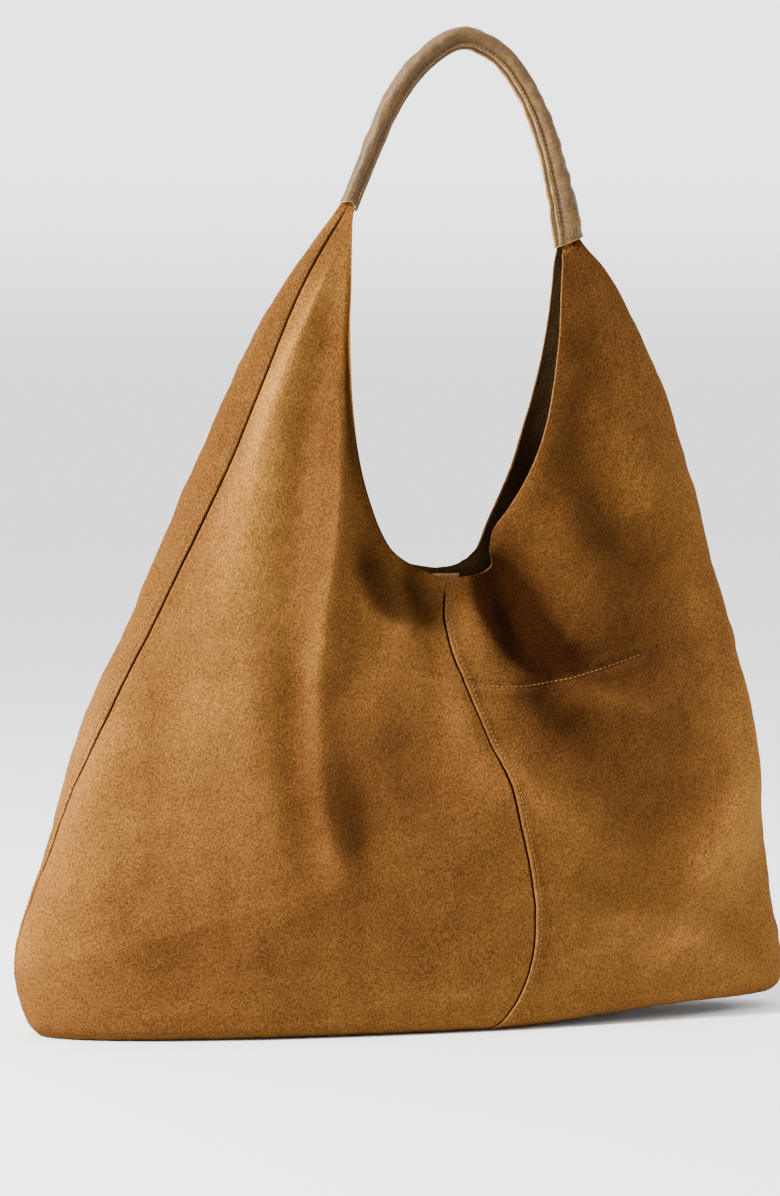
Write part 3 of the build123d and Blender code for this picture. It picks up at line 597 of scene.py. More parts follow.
def suede(name, middle, light, with_painted_shading=True, grain=1.0):
    """Napped suede: patches where the nap lies differently, soft mottling, a gritty speckle of fibres, and
    painted light and shade from a vertex attribute where asked.
    """
    n = Nodes(bpy.data.materials.new(name))
    patches = n.remap(n.noise(130, 2.0, 0.5, 0.4), 0.35, 0.65)
    mottle = n.noise(14, 4.0, 0.7)
    speckle = n.noise(1.25, 1.5, 0.75)
    base = n.mix(n.math("MULTIPLY", patches, 0.22), middle, light)
    # Painted light towards the light colour and painted shade towards the darkest painted shade, from the
    # vertex attribute.
    if with_painted_shading:
        painted_shading = n.new("ShaderNodeAttribute", attribute_name="painted_shading").outputs["Fac"]
        base = n.mix(n.remap(painted_shading, 0.0, 1.0, 0.0, 0.9), base, light)
        base = n.mix(n.remap(painted_shading, 0.0, -1.0), base, DARKEST_PAINTED_SHADE, "MULTIPLY")
    shade = n.math("MULTIPLY", n.remap(mottle, 0.3, 0.7, 0.9, 1.1),
                   n.remap(speckle, 0.32, 0.68, 1 - 0.46 * grain, 1 + 0.46 * grain))
    grey = n.new("ShaderNodeCombineColor", {0: shade, 1: shade, 2: shade}).outputs[0]
    base = n.mix(1.0, base, grey, "MULTIPLY")
    bump = n.bump(n.remap(speckle, 0.32, 0.68), 0.6, 0.45, n.bump(n.noise(7, 2.0), 0.2, 0.5))
    return n.finish(Base_Color=base, Roughness=0.95, Specular_IOR_Level=0.02, Sheen_Weight=0.01,
                    Sheen_Roughness=0.5, Sheen_Tint=middle, Normal=bump)


def smooth_leather(name, dark, middle, light, pebble=1.1, roughness=0.42):
    """Finished leather: fine pebbled grain, drawn creases and a soft wax sheen."""
    n = Nodes(bpy.data.materials.new(name))
    cells = n.new("ShaderNodeTexVoronoi", {"Vector": n.place(), "Scale": 1000.0 / pebble},
                  feature="SMOOTH_F1").outputs["Distance"]
    grain = n.remap(cells, 0.1, 0.75)
    clouds = n.remap(n.noise(14, 3.0), 0.3, 0.7)
    creases = n.remap(n.noise(4, 4.0, 0.65, 1.5), 0.42, 0.56)
    base = n.mix(clouds, middle, light)
    base = n.mix(n.math("MULTIPLY", n.remap(creases, 1.0, 0.0), 0.45), base, dark)
    base = n.mix(n.math("MULTIPLY", grain, 0.25), base, dark)
    bump = n.bump(grain, 0.35, 0.12, n.bump(creases, 0.3, 0.3))
    rough = n.remap(clouds, 0.0, 1.0, roughness - 0.06, roughness + 0.12)
    return n.finish(Base_Color=base, Roughness=rough, Specular_IOR_Level=0.25, Normal=bump)


def woven(name, dark, light, pitch):
    """Plain weave: threads over and under, with slubs."""
    n = Nodes(bpy.data.materials.new(name))
    warp, weft = (n.wave(160.0 / pitch, direction, 0.6) for direction in "XZ")
    cross = n.math("MULTIPLY", warp, weft)
    slub = n.remap(n.noise(3, 3.0), 0.35, 0.65)
    base = n.mix(n.math("ADD", n.math("MULTIPLY", cross, 0.7), n.math("MULTIPLY", slub, 0.3)), dark, light)
    return n.finish(Base_Color=base, Roughness=0.85, Sheen_Weight=0.2, Normal=n.bump(cross, 0.6, 0.3))


def thread(name, dark, light):
    """Twisted waxed thread."""
    n = Nodes(bpy.data.materials.new(name))
    twist = n.wave(420.0, "DIAGONAL", 1.0)
    change = n.remap(n.noise(12, 2.0), 0.3, 0.7)
    base = n.mix(n.math("MULTIPLY", twist, change), light, dark)
    return n.finish(Base_Color=base, Roughness=0.7, Specular_IOR_Level=0.1, Normal=n.bump(twist, 0.5, 0.1))


def worn_metal(name, dark, light, roughness):
    """Antiqued metal: tarnish in clouds, brushed and scratched where it rubs."""
    n = Nodes(bpy.data.materials.new(name))
    tarnish = n.remap(n.noise(3.5, 4.0, 0.6), 0.35, 0.7)
    scratches = n.noise(0.8, 2.0, 0.7, 2.0)
    base = n.mix(tarnish, light, dark)
    rough = n.remap(tarnish, 0.0, 1.0, roughness, roughness + 0.25)
    return n.finish(Base_Color=base, Metallic=1.0, Roughness=rough, Normal=n.bump(scratches, 0.15, 0.05))


DARKEST_PAINTED_SHADE = (0.10, 0.068, 0.048, 1.0)        # the share of its colour that the darkest painted shade keeps
SUEDE_OUT = suede("suede_outside", colour(84, 53, 23), colour(131, 91, 40))
SUEDE_IN = suede("suede_inside", colour(38, 26, 13), colour(60, 43, 24), False, 0.7)
SUEDE_EDGE = suede("suede_cut_edge", colour(92, 58, 27), colour(124, 86, 46), False)
LEATHER = smooth_leather("strap_leather", colour(32, 21, 7), colour(66, 46, 17), colour(86, 61, 24),
                         roughness=0.55)
LEATHER_EDGE = smooth_leather("leather_cut_edge", colour(84, 62, 32), colour(126, 98, 56),
                              colour(150, 120, 76), 0.6, 0.7)
TAB_LEATHER = smooth_leather("closure_leather", colour(70, 42, 18), colour(120, 76, 36), colour(146, 98, 52))
THREAD = thread("thread", colour(54, 35, 17), colour(96, 67, 36))
THREAD_DARK = thread("seam_thread", colour(52, 34, 15), colour(96, 66, 33))
COTTON = woven("pocket_cotton", colour(76, 62, 40), colour(120, 102, 70), 0.7)
TAPE = woven("zip_tape", colour(40, 28, 17), colour(72, 52, 33), 0.5)
FILLER = woven("strap_filler", colour(150, 136, 108), colour(204, 190, 160), 0.8)
BRASS = worn_metal("antique_brass", colour(96, 74, 38), colour(196, 164, 98), 0.32)
PANEL_MATERIALS = [SUEDE_OUT, SUEDE_IN, SUEDE_EDGE]


# ---- the suede panels ----
CLEAN_EDGE = [0, 0.6, 1.2, 1.8, 2.5, 3.3, 4.2, 5.2, 6.4, 8.0, 10.0]
UNDER_EDGE = [-SEAM_UNDER, -2.0, -1.0, -0.3, 0.3, 0.9, 1.5, 2.2, 3.0, 4.0, 5.2, 7.0, 9.5]


def side_seam_angle(which, z):
    return curve(LEFT_SEAM, z) if which == "left" else np.full(z.shape, RIGHT_SEAM_ANGLE)


def side_line(which, front, top, count):
    """Angles and heights up a side seam, evenly spaced."""
    z = np.linspace(0, top, 400)
    reach = reach_along(body(side_seam_angle(which, z), z))
    z = np.interp(np.linspace(0, reach[-1], count), reach, z)
    angle = side_seam_angle(which, z)
    if which == "left" and not front:
        angle = angle + 360
    return angle, z


def panel_grid(which, front, centre, rim):
    """The smooth grid of a panel, from its side seam to its centre seam and rim.

    Each row runs from the side seam, closely spaced beside both edges and evenly between them. With
    the grid come each point's distances from the edges.
    """
    top = PANEL_TOP[which]
    rim = [p for p in rim if p[1] <= top + 3]
    seam_length, rim_length = line_length(centre), line_length(rim)
    seam_rows, rim_rows = round(seam_length / SPACING), round(rim_length / SPACING)
    inner = np.concatenate([line_through(centre, seam_rows)[:-1], line_through(rim, rim_rows)])
    inner_z = np.minimum(inner[:, 1], top)
    rows = len(inner)
    inner_angle = angle_at(inner[:, 0], inner_z, front)
    side_angle, side_z = side_line(which, front, top, rows)
    is_rim = smoothstep(0, 4, np.arange(rows) - (seam_rows - 6))
    # Each row is followed a little beyond both edges, for what lies under a seam.
    t = np.linspace(-0.08, 1.08, 260)
    angle = side_angle[:, None] + (inner_angle - side_angle)[:, None] * t
    z = np.clip(side_z[:, None] + (inner_z - side_z)[:, None] * t, 0, top)
    dense = body(angle, z)
    step = np.linalg.norm(np.diff(dense, axis=1), axis=2)
    reach = np.concatenate([np.zeros((rows, 1)), np.cumsum(step, axis=1)], 1)
    start = np.array([np.interp(0.0, t, row) for row in reach])
    end = np.array([np.interp(1.0, t, row) for row in reach])
    width = end - start
    side_under = front == (which == "left")
    centre_under = which == "left"
    low = np.array(UNDER_EDGE if side_under else CLEAN_EDGE)
    high = np.array(UNDER_EDGE if centre_under else CLEAN_EDGE)
    middle = round(np.median(width) / SPACING) - 8
    places = np.empty((rows, len(low) + len(high) + middle))
    for i in range(rows):
        shrink = min(1.0, 0.44 * width[i] / max(low[-1], high[-1]))
        a, b = low * shrink, high * shrink
        b = np.where(b < 0, b * (1 - is_rim[i]), b)
        b[high < 0.3] = np.minimum.accumulate(b[high < 0.3][::-1])[::-1]
        inside = np.linspace(a[-1], width[i] - b[-1], middle + 2)[1:-1]
        places[i] = np.concatenate([a, inside, width[i] - b[::-1]])
    at = start[:, None] + places
    new_angle = np.stack([np.interp(at[i], reach[i], angle[i]) for i in range(rows)])
    new_z = np.stack([np.interp(at[i], reach[i], z[i]) for i in range(rows)])
    return {
        "grid": body(new_angle, new_z), "from_side": places, "from_inner": width[:, None] - places,
        "is_rim": np.broadcast_to(is_rim[:, None], places.shape),
        "side_under": side_under, "centre_under": centre_under}


def seam_relief(distance, under):
    """How a panel lies beside a seam: the upper one stands proud, the lower one dips beneath it."""
    if under:
        return -2.5 * (1 - smoothstep(0.1, 1.5, distance))
    return 0.9 * (1 - smoothstep(3.0, 7.5, distance)) - 0.5 * bell(distance, 0.7)


def stitch_channel(distance, width=1.1, depth=0.45):
    """The groove that a row of stitches pulls into the suede."""
    return -depth * bell(distance, width)


def lift_corner(grid):
    """Raises the right end of the base a little off the ground."""
    x, z = grid[..., 0], grid[..., 2]
    grid[..., 2] = z + CORNER_LIFT * smoothstep(35, 190, x) * (1 - smoothstep(0, 120, z))


def keep_clear(grid, front):
    """Keeps the folds off the closure tabs and, in the front, off the pocket behind it."""
    x, y, z = grid[..., 0], grid[..., 1], grid[..., 2]
    near_tabs = smoothstep(30, 16, np.abs(x - MOUTH_X)) * smoothstep(222, 234, z) * smoothstep(300, 290, z)
    least = TABS_ROOM * near_tabs
    if front:
        over = smoothstep(POCKET_LEFT - 7, POCKET_LEFT + 1, x)
        over *= smoothstep(POCKET_RIGHT + 7, POCKET_RIGHT - 1, x)
        over *= smoothstep(POCKET_BOTTOM - 8, POCKET_BOTTOM, z)
        over *= smoothstep(8, 2, z - curve(POCKET_SEAM, x))
        least = np.maximum(least, POCKET_ROOM * over)
    away = np.minimum(y, -least) if front else np.maximum(y, least)
    grid[..., 1] = np.where(least > 0, away, y)


def enter_strap(grid):
    """Flattens the necks where they go up into the strap's ends."""
    x, z = grid[..., 0], grid[..., 2]
    flat = np.where(x > MOUTH_X, 0.62 * smoothstep(478, 495, z), 0.35 * smoothstep(500, 515, z))
    grid[..., 1] *= 1 - flat


def panel(name, which, front, centre, rim, node):
    """One panel of the body: a smooth grid, folded, made a little uneven, sewn and given its thickness."""
    data = panel_grid(which, front, centre, rim)
    grid = data["grid"]
    flip = (which == "right") == front
    outward = -1 if flip else 1
    normal = normals_of(grid) * outward
    x, y, z = np.moveaxis(grid, -1, 0)
    folds = fold_height(FRONT_FOLDS if front else BACK_FOLDS, x, z)
    if front:
        folds = folds + fold_height(FRONT_CRESTS, x, z, 1.25)
    up = (grid - FOLD_AT) @ FOLD_UP
    calm = smoothstep(4, -60, up) * 0.85 + 0.15
    calm = np.where(up > 0, 0.15 * smoothstep(14, 0, up), calm)
    facing = np.clip(np.abs(normal[..., 1]), 0, 1) ** 0.5
    ground = smoothstep(0, 26, z)
    # The folds of the front and the back both run out before they meet at the side seams.
    beside_seam = smoothstep(-SEAM_UNDER, SEAM_CALM[which], data["from_side"])
    height = FOLD_DEPTH * folds * calm * facing * ground * beside_seam
    uneven = 0.7 * ripple(x, y, z, 80, 3) + 0.22 * ripple(x, y, z, 28, 5)
    height = height + uneven * calm * (0.25 + 0.75 * ground)
    height = height + 0.10 * ripple(x, y, z, 9, 11) * calm
    seam_fade = smoothstep(6, -6, up)       # the side seams end where the necks go into the strap
    # Painted shade in the hollows of the folds and painted highlights on their ridges, plus the listed
    # painted light and shade.
    painted_shading = np.clip(height / 40.0, -0.3, 0.3) + fold_height(FRONT_PAINTED_SHADING if front else BACK_PAINTED_SHADING, x, z)
    if front:
        # The left rim is tucked in, the right one flares out.
        if which == "left":
            turn_in = 9.0 * smoothstep(290, 370, z) * smoothstep(508, 430, z)
        else:
            turn_in = -5.0 * smoothstep(286, 310, z) * smoothstep(430, 370, z)
        height = height - turn_in * bell(nearest(rim, x, z)[0], 15.0)
    grid = grid + normal * height[..., None]
    keep_clear(grid, front)
    enter_strap(grid)
    # Both seams: the relief beside them, the stitches of the upper panel, painted shade in the groove below
    # its edge and a painted highlight on its raised edge.
    height = np.zeros(x.shape)
    for distance, under, live in ((data["from_side"], data["side_under"], seam_fade),
                                  (data["from_inner"], data["centre_under"], 1 - data["is_rim"])):
        height = height + seam_relief(distance, under) * live
        if under:
            # painted shade in the groove where the lower panel dips beneath the upper one
            painted_shading = painted_shading - 0.9 * live * (1 - smoothstep(0.2, 1.5, distance))
        else:
            height = height + stitch_channel(distance - SEAM_INSET) * live
            # painted highlight along the upper panel's raised edge
            painted_shading = painted_shading + 0.22 * live * (1 - smoothstep(0.4, 2.6, distance))
    if front:
        distance = nearest(POCKET_SEAM, x, z)[0]
        height = height + stitch_channel(distance, 2.0, 0.9) + 0.7 * bell(distance - 4, 3)
    grid = grid + normal * height[..., None]
    lift_corner(grid)
    grid[..., 2] = np.maximum(grid[..., 2], 0.05)
    obj = thick_sheet(name, grid, SUEDE, PANEL_MATERIALS, np.clip(painted_shading, -1, 1), flip)
    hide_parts(node)
    bend_with_strap(obj)
    data.update(surface=grid, normal=normals_of(grid) * outward)
    return data


def bend_with_strap(obj):
    """Bakes the object's placement into its mesh; the necks do not follow the strap."""
    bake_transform(obj)


PANELS = {
    "front_left": panel("suede_front_left", "left", True, FRONT_CENTRE, FRONT_RIM_LEFT, "front_left_panel"),
    "front_right": panel(
        "suede_front_right", "right", True, FRONT_CENTRE, FRONT_RIM_RIGHT, "front_right_panel"),
    "back_left": panel("suede_back_left", "left", False, BACK_CENTRE, BACK_RIM_LEFT, "back_left_panel"),
    "back_right": panel("suede_back_right", "right", False, BACK_CENTRE, BACK_RIM_RIGHT, "back_right_panel"),
}


def base():
    """The base: a pointed oval of suede, flat where it rests."""
    around = 160
    angles = np.linspace(0, 360, around, endpoint=False)
    outline = body(angles, np.zeros(around))
    rings = []
    # Each ring is the outline drawn in towards the base's long middle line.
    shares = np.linspace(1.0, 0.0, 15)
    for share in shares:
        ring = outline * np.array([1, share, 1])
        ring[:, 0] = outline[:, 0] - np.sign(outline[:, 0]) * (1 - share) * 30 * np.abs(outline[:, 0]) / 240
        ring[:, :2] -= np.sign(ring[:, :2]) * BASE_INSET * min(1.0, 3 * share)
        ring[:, 2] = 0.25 + 0.25 * ripple(ring[:, 0], ring[:, 1], ring[:, 2], 60, 17) * (1 - share)
        rings.append(ring)
    grid = np.stack(rings)
    grid[..., 2] = np.maximum(grid[..., 2], 0.02)
    lift_corner(grid)
    lower = grid.reshape(-1, 3)
    upper = lower + np.array([0, 0, BASE_THICK])
    count = len(lower)
    under = grid_faces(len(shares), around, wrap=True)
    edge, after = np.arange(around), np.roll(np.arange(around), -1)
    faces = np.concatenate([
        under, under[:, ::-1] + count, np.stack([after, edge, edge + count, after + count], 1)])
    kinds = [0] * len(under) + [1] * len(under) + [2] * around
    obj = new_object("suede_base", np.concatenate([lower, upper]), faces, PANEL_MATERIALS, kinds)
    # darkened evenly by the painted shading
    paint_light_and_shade(obj, np.full(2 * count, -0.15))
    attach(obj, "bag")
    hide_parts("base_panel")


base()


# ---- thread ----
def stitch_row(points, normals, pitch=STITCH_PITCH, length=STITCH_LENGTH, radius=STITCH_RADIUS):
    """Stitches along a line on a surface: each rises out of its hole, lies on it and dives back in."""
    reach = reach_along(points)
    places = np.arange(pitch / 2, reach[-1], pitch)
    share = np.array([-1.0, -0.86, -0.5, 0.0, 0.5, 0.86, 1.0])
    width = radius * np.array([0.45, 0.85, 1.0, 1.05, 1.0, 0.85, 0.45])
    rise = radius * np.array([-0.9, 0.05, 0.5, 0.62, 0.5, 0.05, -0.9])
    at = places[:, None] + share * length / 2
    middle = columns_at(at, reach, points)
    normal = units(columns_at(at, reach, normals))
    tangent = units(columns_at(at + 0.4, reach, points) - columns_at(at - 0.4, reach, points))
    side = np.cross(tangent, normal)
    turn = np.linspace(0, 2 * math.pi, STITCH_SIDES, endpoint=False)
    rings = (middle + normal * rise[:, None])[:, :, None] + width[:, None, None] * (
        np.cos(turn)[:, None] * side[:, :, None] + np.sin(turn)[:, None] * normal[:, :, None])
    one = tube_faces(len(share), STITCH_SIDES)
    size = len(share) * STITCH_SIDES
    faces = [tuple(i + size * k for i in face) for k in range(len(places)) for face in one]
    return rings.reshape(-1, 3), faces


def on_panel(data, key, inset, low, high):
    """The line on a panel that keeps one distance from its seam, between two heights."""
    points, normals = [], []
    for distance, surface, normal in zip(data[key], data["surface"], data["normal"]):
        order = np.argsort(distance)
        at = columns_at(inset, distance[order], surface[order])
        if low <= at[2] <= high:
            points.append(at)
            normals.append(columns_at(inset, distance[order], normal[order]))
    return np.array(points), np.array(normals)


def on_front(points):
    """Places on the front panels, with their normals, for (x, z) points."""
    vertices, faces = [], []
    for name in ("front_left", "front_right"):
        grid = PANELS[name]["surface"]
        faces += [tuple(int(i) for i in f) for f in grid_faces(*grid.shape[:2], len(vertices))]
        vertices += [Vector(v) for v in grid.reshape(-1, 3)]
    tree = BVHTree.FromPolygons(vertices, faces)
    found, normals = [], []
    for x, z in points:
        hit, normal, _, _ = tree.ray_cast(Vector((x, -200, z)), Vector((0, 1, 0)))
        if hit is not None:
            found.append(hit)
            normals.append(normal if normal.y < 0 else -normal)
    return np.array(found), np.array(normals)


# Rows beside the seams: name, node, panel, its edge, the row's top, and whether it goes up into a neck.
SEAM_ROWS = [
    ("stitches_front_centre", "front_centre_seam_thread", "front_right", "from_inner", 274, False),
    ("stitches_back_centre", "back_centre_seam_thread", "back_right", "from_inner", 280, False),
    ("stitches_left_side", "left_side_seam_thread", "back_left", "from_side", 503, True),
    ("stitches_right_side", "right_side_seam_thread", "front_right", "from_side", 484, True),
]


def seam_thread(name, node, row, material, in_neck):
    """A row of stitches, attached to the bag unless it goes up into a neck."""
    obj = new_object(name, *row, [material])
    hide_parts(node)
    if in_neck:
        bend_with_strap(obj)
    else:
        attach(obj, "bag")


def seam_threads():
    pocket_row = stitch_row(*on_front(line_through(POCKET_SEAM, 160)))
    seam_thread("stitches_pocket", "pocket_seam_thread", pocket_row, THREAD, False)
    for name, node, on, edge, top, in_neck in SEAM_ROWS:
        row = stitch_row(*on_panel(PANELS[on], edge, SEAM_INSET, 3, top))
        seam_thread(name, node, row, THREAD_DARK, in_neck)


seam_threads()


# ---- the strap ----
# Its line, and along it half its width in the plane of the arch and half its thickness.
STRAP_LINE = [(-37.4, 514.5), (-31.2, 528.5), (-21.5, 552.5), (-4, 588), (12, 607), (37, 621), (60, 612),
              (78, 590), (94.0, 553), (98.6, 536), (103.8, 514), (107.2, 493.5)]
STRAP_SIZE = [(0, 6.4, 4.9), (8, 6.2, 5.0), (30, 6.1, 5.6), (80, 7.0, 6.8), (150, 7.2, 7.0), (235, 7.0, 6.8),
              (290, 7.8, 6.2), (315, 8.6, 5.5), (337, 9.4, 5.0), (360, 10.0, 4.8)]
# The strap's section, as shares of those: a roll of leather whose two edges are sewn together in a
# stepped flange on the inner side of the arch.
ROLL = [(-1.0, 0.0), (-0.97, -0.34), (-0.89, -0.62), (-0.74, -0.85), (-0.52, -0.97), (-0.28, -1.0),
        (-0.06, -0.94), (0.10, -0.82), (0.22, -0.68), (0.30, -0.60), (0.37, -0.61), (0.46, -0.66),
        (0.56, -0.66), (0.64, -0.62), (0.69, -0.52), (0.70, -0.34), (0.67, -0.18), (0.58, -0.10),
        (0.46, -0.02), (0.58, 0.02), (0.80, 0.04), (0.93, 0.07), (0.99, 0.16), (1.0, 0.34), (0.96, 0.48),
        (0.86, 0.56), (0.66, 0.62), (0.46, 0.62), (0.34, 0.60), (0.22, 0.68), (0.10, 0.82), (-0.06, 0.94),
        (-0.28, 1.0), (-0.52, 0.97), (-0.74, 0.85), (-0.89, 0.62), (-0.97, 0.34)]
ROLL_EDGES = [(14, 17), (21, 24)]           # the cut edges of its two layers, by index into ROLL
# The leather's ends: (distance into the strap, distance inside its surface), from deep inside outwards.
STRAP_MOUTH = [(9.0, 1.7), (3.0, 1.7), (0.2, 1.6), (-0.35, 1.1), (-0.5, 0.7), (-0.35, 0.25)]
DEEP_RINGS = 2                              # the first of these, inside the cut edge


def strap_frames(step):
    """Along the strap: its points, directions onward and towards the inside of the arch, reach and size."""
    points = np.array([(x, 0, z) for x, z in STRAP_LINE], float)
    length = line_length(points)
    line = line_through(points, round(length / step) + 1)
    tangent = units(np.gradient(line, axis=0))
    inward = np.stack([tangent[:, 2], np.zeros(len(line)), -tangent[:, 0]], 1)
    reach = np.linspace(0, length, len(line))
    place, *sizes = np.array(STRAP_SIZE, float).T
    wide, thick = (curve(np.stack([place / place[-1] * length, size], 1), reach) for size in sizes)
    return line, tangent, inward, reach, wide, thick


def end_shape(u, from_left, from_right):
    """How far the leather's ends are cut back across its width: a peak on the left, a slant on the right."""
    left = 3.6 * (1 - np.abs(u + 0.1) / 1.05).clip(0, 1) * np.exp(-from_left / 9)
    right = 2.2 * u * np.exp(-from_right / 9)
    return left + right


def strap_leather():
    line, tangent, inward, reach, wide, thick = strap_frames(2.0)
    length = reach[-1]
    # Between each two points of the section lies one more.
    corners = np.array(ROLL)
    halfway = (corners + np.roll(corners, -1, 0)) / 2
    section = np.stack([corners, halfway], 1).reshape(-1, 2)
    # Rings from deep in the left end, round its cut edge, along the outside and into the right end:
    # reach, distance inside the surface, and distance past the end.
    left_end = [(max(depth, 0), inset, min(depth, 0)) for depth, inset in STRAP_MOUTH]
    right_end = [(length - at, inset, -beyond) for at, inset, beyond in reversed(left_end)]
    rings = []
    for at, inset, beyond in [*left_end, *((r, 0.0, 0.0) for r in reach), *right_end]:
        w, h = np.interp(at, reach, wide), np.interp(at, reach, thick)
        origin, t, n = (columns_at(at, reach, v) for v in (line, tangent, inward))
        u = section[:, 0] * (w - inset)
        v = section[:, 1] * (h - inset) * (1 - 0.10 * np.exp(-min(at, length - at) / 14))
        crease = 0.18 * ripple(origin[0] + n[0] * u, v, origin[2] + n[2] * u, 9, 23)
        shift = end_shape(section[:, 0], at, length - at)
        grow = 1 + crease / h * (inset == 0)
        rings.append(origin + np.outer(u * grow, n) + np.outer(v * grow, [0, 1, 0])
                     + np.outer(shift + beyond, t))
    count, around = len(rings), len(section)
    kinds = np.zeros((count - 1, around), int)
    for first, last in ROLL_EDGES:
        kinds[:, 2 * first:2 * last] = 1
    ends = len(STRAP_MOUTH)
    kinds[:DEEP_RINGS] = 0
    kinds[DEEP_RINGS:ends] = 1
    kinds[-ends:-DEEP_RINGS] = 1
    obj = new_object("strap_leather_roll", np.concatenate(rings), tube_faces(count, around),
                     [LEATHER, LEATHER_EDGE], [*kinds.ravel(), 0, 0])
    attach(obj, "strap")
    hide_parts("strap_leather")


def strap_stitches():
    line, tangent, inward, reach, wide, thick = strap_frames(2.0)
    length = reach[-1]
    live = (reach > 5) & (reach < length - 4)
    parts = []
    for side in (-1, 1):
        points = line + inward * (0.52 * wide)[:, None] + np.outer(side * 0.66 * thick, [0, 1, 0])
        normals = np.tile([0.0, side, 0.0], (len(points), 1))
        parts.append(stitch_row(points[live], normals[live], pitch=2.9, length=2.0, radius=0.4))
    # The short rows across both ends, where the leather is sewn to the suede.
    for at, shares in ((5.5, (-0.42, 0.02)), (length - 3.2, (-0.75, 0.35))):
        origin, t, n = (columns_at(at, reach, v) for v in (line, tangent, inward))
        w, h = np.interp(at, reach, wide), np.interp(at, reach, thick)
        u = np.linspace(*shares, 9)
        v = np.interp(u, *np.transpose(ROLL[:12])) * h * 0.95 - 0.15
        points = origin + np.outer(u * w, n) + np.outer(v, [0, 1, 0])
        points += np.outer(end_shape(u, at, length - at), t)
        normals = np.tile([0.0, -1.0, 0.0], (len(points), 1))
        parts.append(stitch_row(points, normals, pitch=2.3, length=1.6))
    obj = new_object("stitches_strap", *merged(parts), [THREAD])
    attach(obj, "strap")
    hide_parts("strap_seam_thread")


def strap_filler():
    """Three twisted strands inside the roll of leather."""
    line, _, inward, reach, wide, _ = strap_frames(3.0)
    live = (reach > 16) & (reach < reach[-1] - 16)
    middle = (line - inward * (0.28 * wide)[:, None])[live]
    n = inward[live]
    turn = reach[live] / 22 * 2 * math.pi
    strands = []
    for k in range(3):
        a = turn + k * 2 * math.pi / 3
        path = middle + n * (1.3 * np.cos(a))[:, None] + np.outer(1.3 * np.sin(a), [0, 1, 0])
        strands.append(round_tube(path, 10, 1.45))
    obj = new_object("strap_filler_cord", *merged(strands), [FILLER])
    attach(obj, "strap")
    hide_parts("strap_core")


strap_leather()
strap_stitches()
strap_filler()


# ---- the suede gathered into each neck ----
def neck_gather(name, middle, heading, wide, nodes, seed):
    """The ends of the panels, pleated together and tucked up into the strap's end."""
    t = np.linspace(0, 1, 26)
    path = np.array(middle) + np.outer(t * 34 - 15, heading)
    turn = np.linspace(0, 2 * math.pi, 48, endpoint=False)
    pleats = 1 + 0.16 * np.cos(9 * turn[None] + 2.2 * np.sin(3 * t[:, None] + seed))
    swell = (0.72 + 0.28 * np.sin(math.pi * np.clip(t * 1.1, 0, 1)))[:, None]
    section = np.stack([wide * np.cos(turn), 1.75 * np.sin(turn)], -1)[None] * (pleats * swell)[..., None]
    through = np.tile([0.0, 1.0, 0.0], (len(t), 1))
    obj = new_object(name, *tube(path, np.cross(through, heading), through, section), [SUEDE_OUT])
    # painted shade over the whole gather, tucked up under the strap's end
    paint_light_and_shade(obj, np.full(len(obj.data.vertices), -0.35))
    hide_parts(*nodes)
    bend_with_strap(obj)


neck_gather("neck_gather_left", (-39.5, 0, 508), (0.30, 0, 0.954), 3.2,
            ["left_peak_gather", "left_suede_tongue"], 0)
neck_gather("neck_gather_right", (107.0, 0, 486), (-0.12, 0, 0.993), 3.6,
            ["right_peak_gather", "right_suede_tongue"], 1)


# ---- the closure ----
TAB_HALF, TAB_THICK, TAB_CORNER = 14.0, 1.9, 9.0
TAB_BOTTOM, TAB_FOLD = 234.0, 264.0
TAB_INSET = 2.6                             # of its row of stitches from its edge


def closure_tab(side, top, joint_body, nodes):
    """One leather strip, sewn inside the rim at its top, with its free end below the fold."""
    low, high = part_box(nodes[1])
    y = (low[1] + high[1]) / 2 / MM
    z = np.linspace(top, TAB_BOTTOM, 34)
    drop = np.clip(z - TAB_BOTTOM, 0, TAB_CORNER)
    half = TAB_HALF - TAB_CORNER + np.sqrt(np.maximum(TAB_CORNER**2 - (TAB_CORNER - drop) ** 2, 0.04))
    across = np.linspace(-1, 1, 27)
    x = MOUTH_X + half[:, None] * across
    outer = side * (TAB_THICK / 2 - 0.25 * smoothstep(0.90, 1.0, np.abs(across)))
    grid = np.stack([x, np.broadcast_to(y + outer, x.shape), np.broadcast_to(z[:, None], x.shape)], -1)
    leather = thick_sheet(f"{joint_body}_leather", grid, TAB_THICK,
                          [TAB_LEATHER, TAB_LEATHER, LEATHER_EDGE], flip=side > 0)
    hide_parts(*nodes)
    # Its row of stitches goes down one edge, round the free end and up the other edge.
    z, half = z[2:-2], half[2:-2]
    reach = half * np.clip(1 - TAB_INSET / half, 0.2, 1)
    down, up = (np.stack([MOUTH_X + sign * reach, np.full(z.shape, y), z], -1) for sign in (-1, 1))
    loop = np.concatenate([down, [[MOUTH_X, y, TAB_BOTTOM + TAB_INSET]], up[::-1]])
    loop[:, 1] += side * TAB_THICK / 2
    row = stitch_row(loop, np.tile([0.0, side, 0.0], (len(loop), 1)), pitch=2.9)
    stitches = new_object(f"{joint_body}_stitches", *row, [THREAD])
    for obj in (leather, stitches):
        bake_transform(obj)


closure_tab(-1, 275.0, "front_tab", ["front_tab_sewn_end", "front_closure_tab"])
closure_tab(1, 283.0, "back_tab", ["back_tab_sewn_end", "back_closure_tab"])


# ---- the pocket ----
POCKET_Y = -26.4
POCKET_SHEET, POCKET_GAP = 0.8, 1.6
TO_SEAM = 400.0                             # a layer with this for its top hangs from the pocket's seam
ZIP_Z, ZIP_LAP = 193.0, 8.0


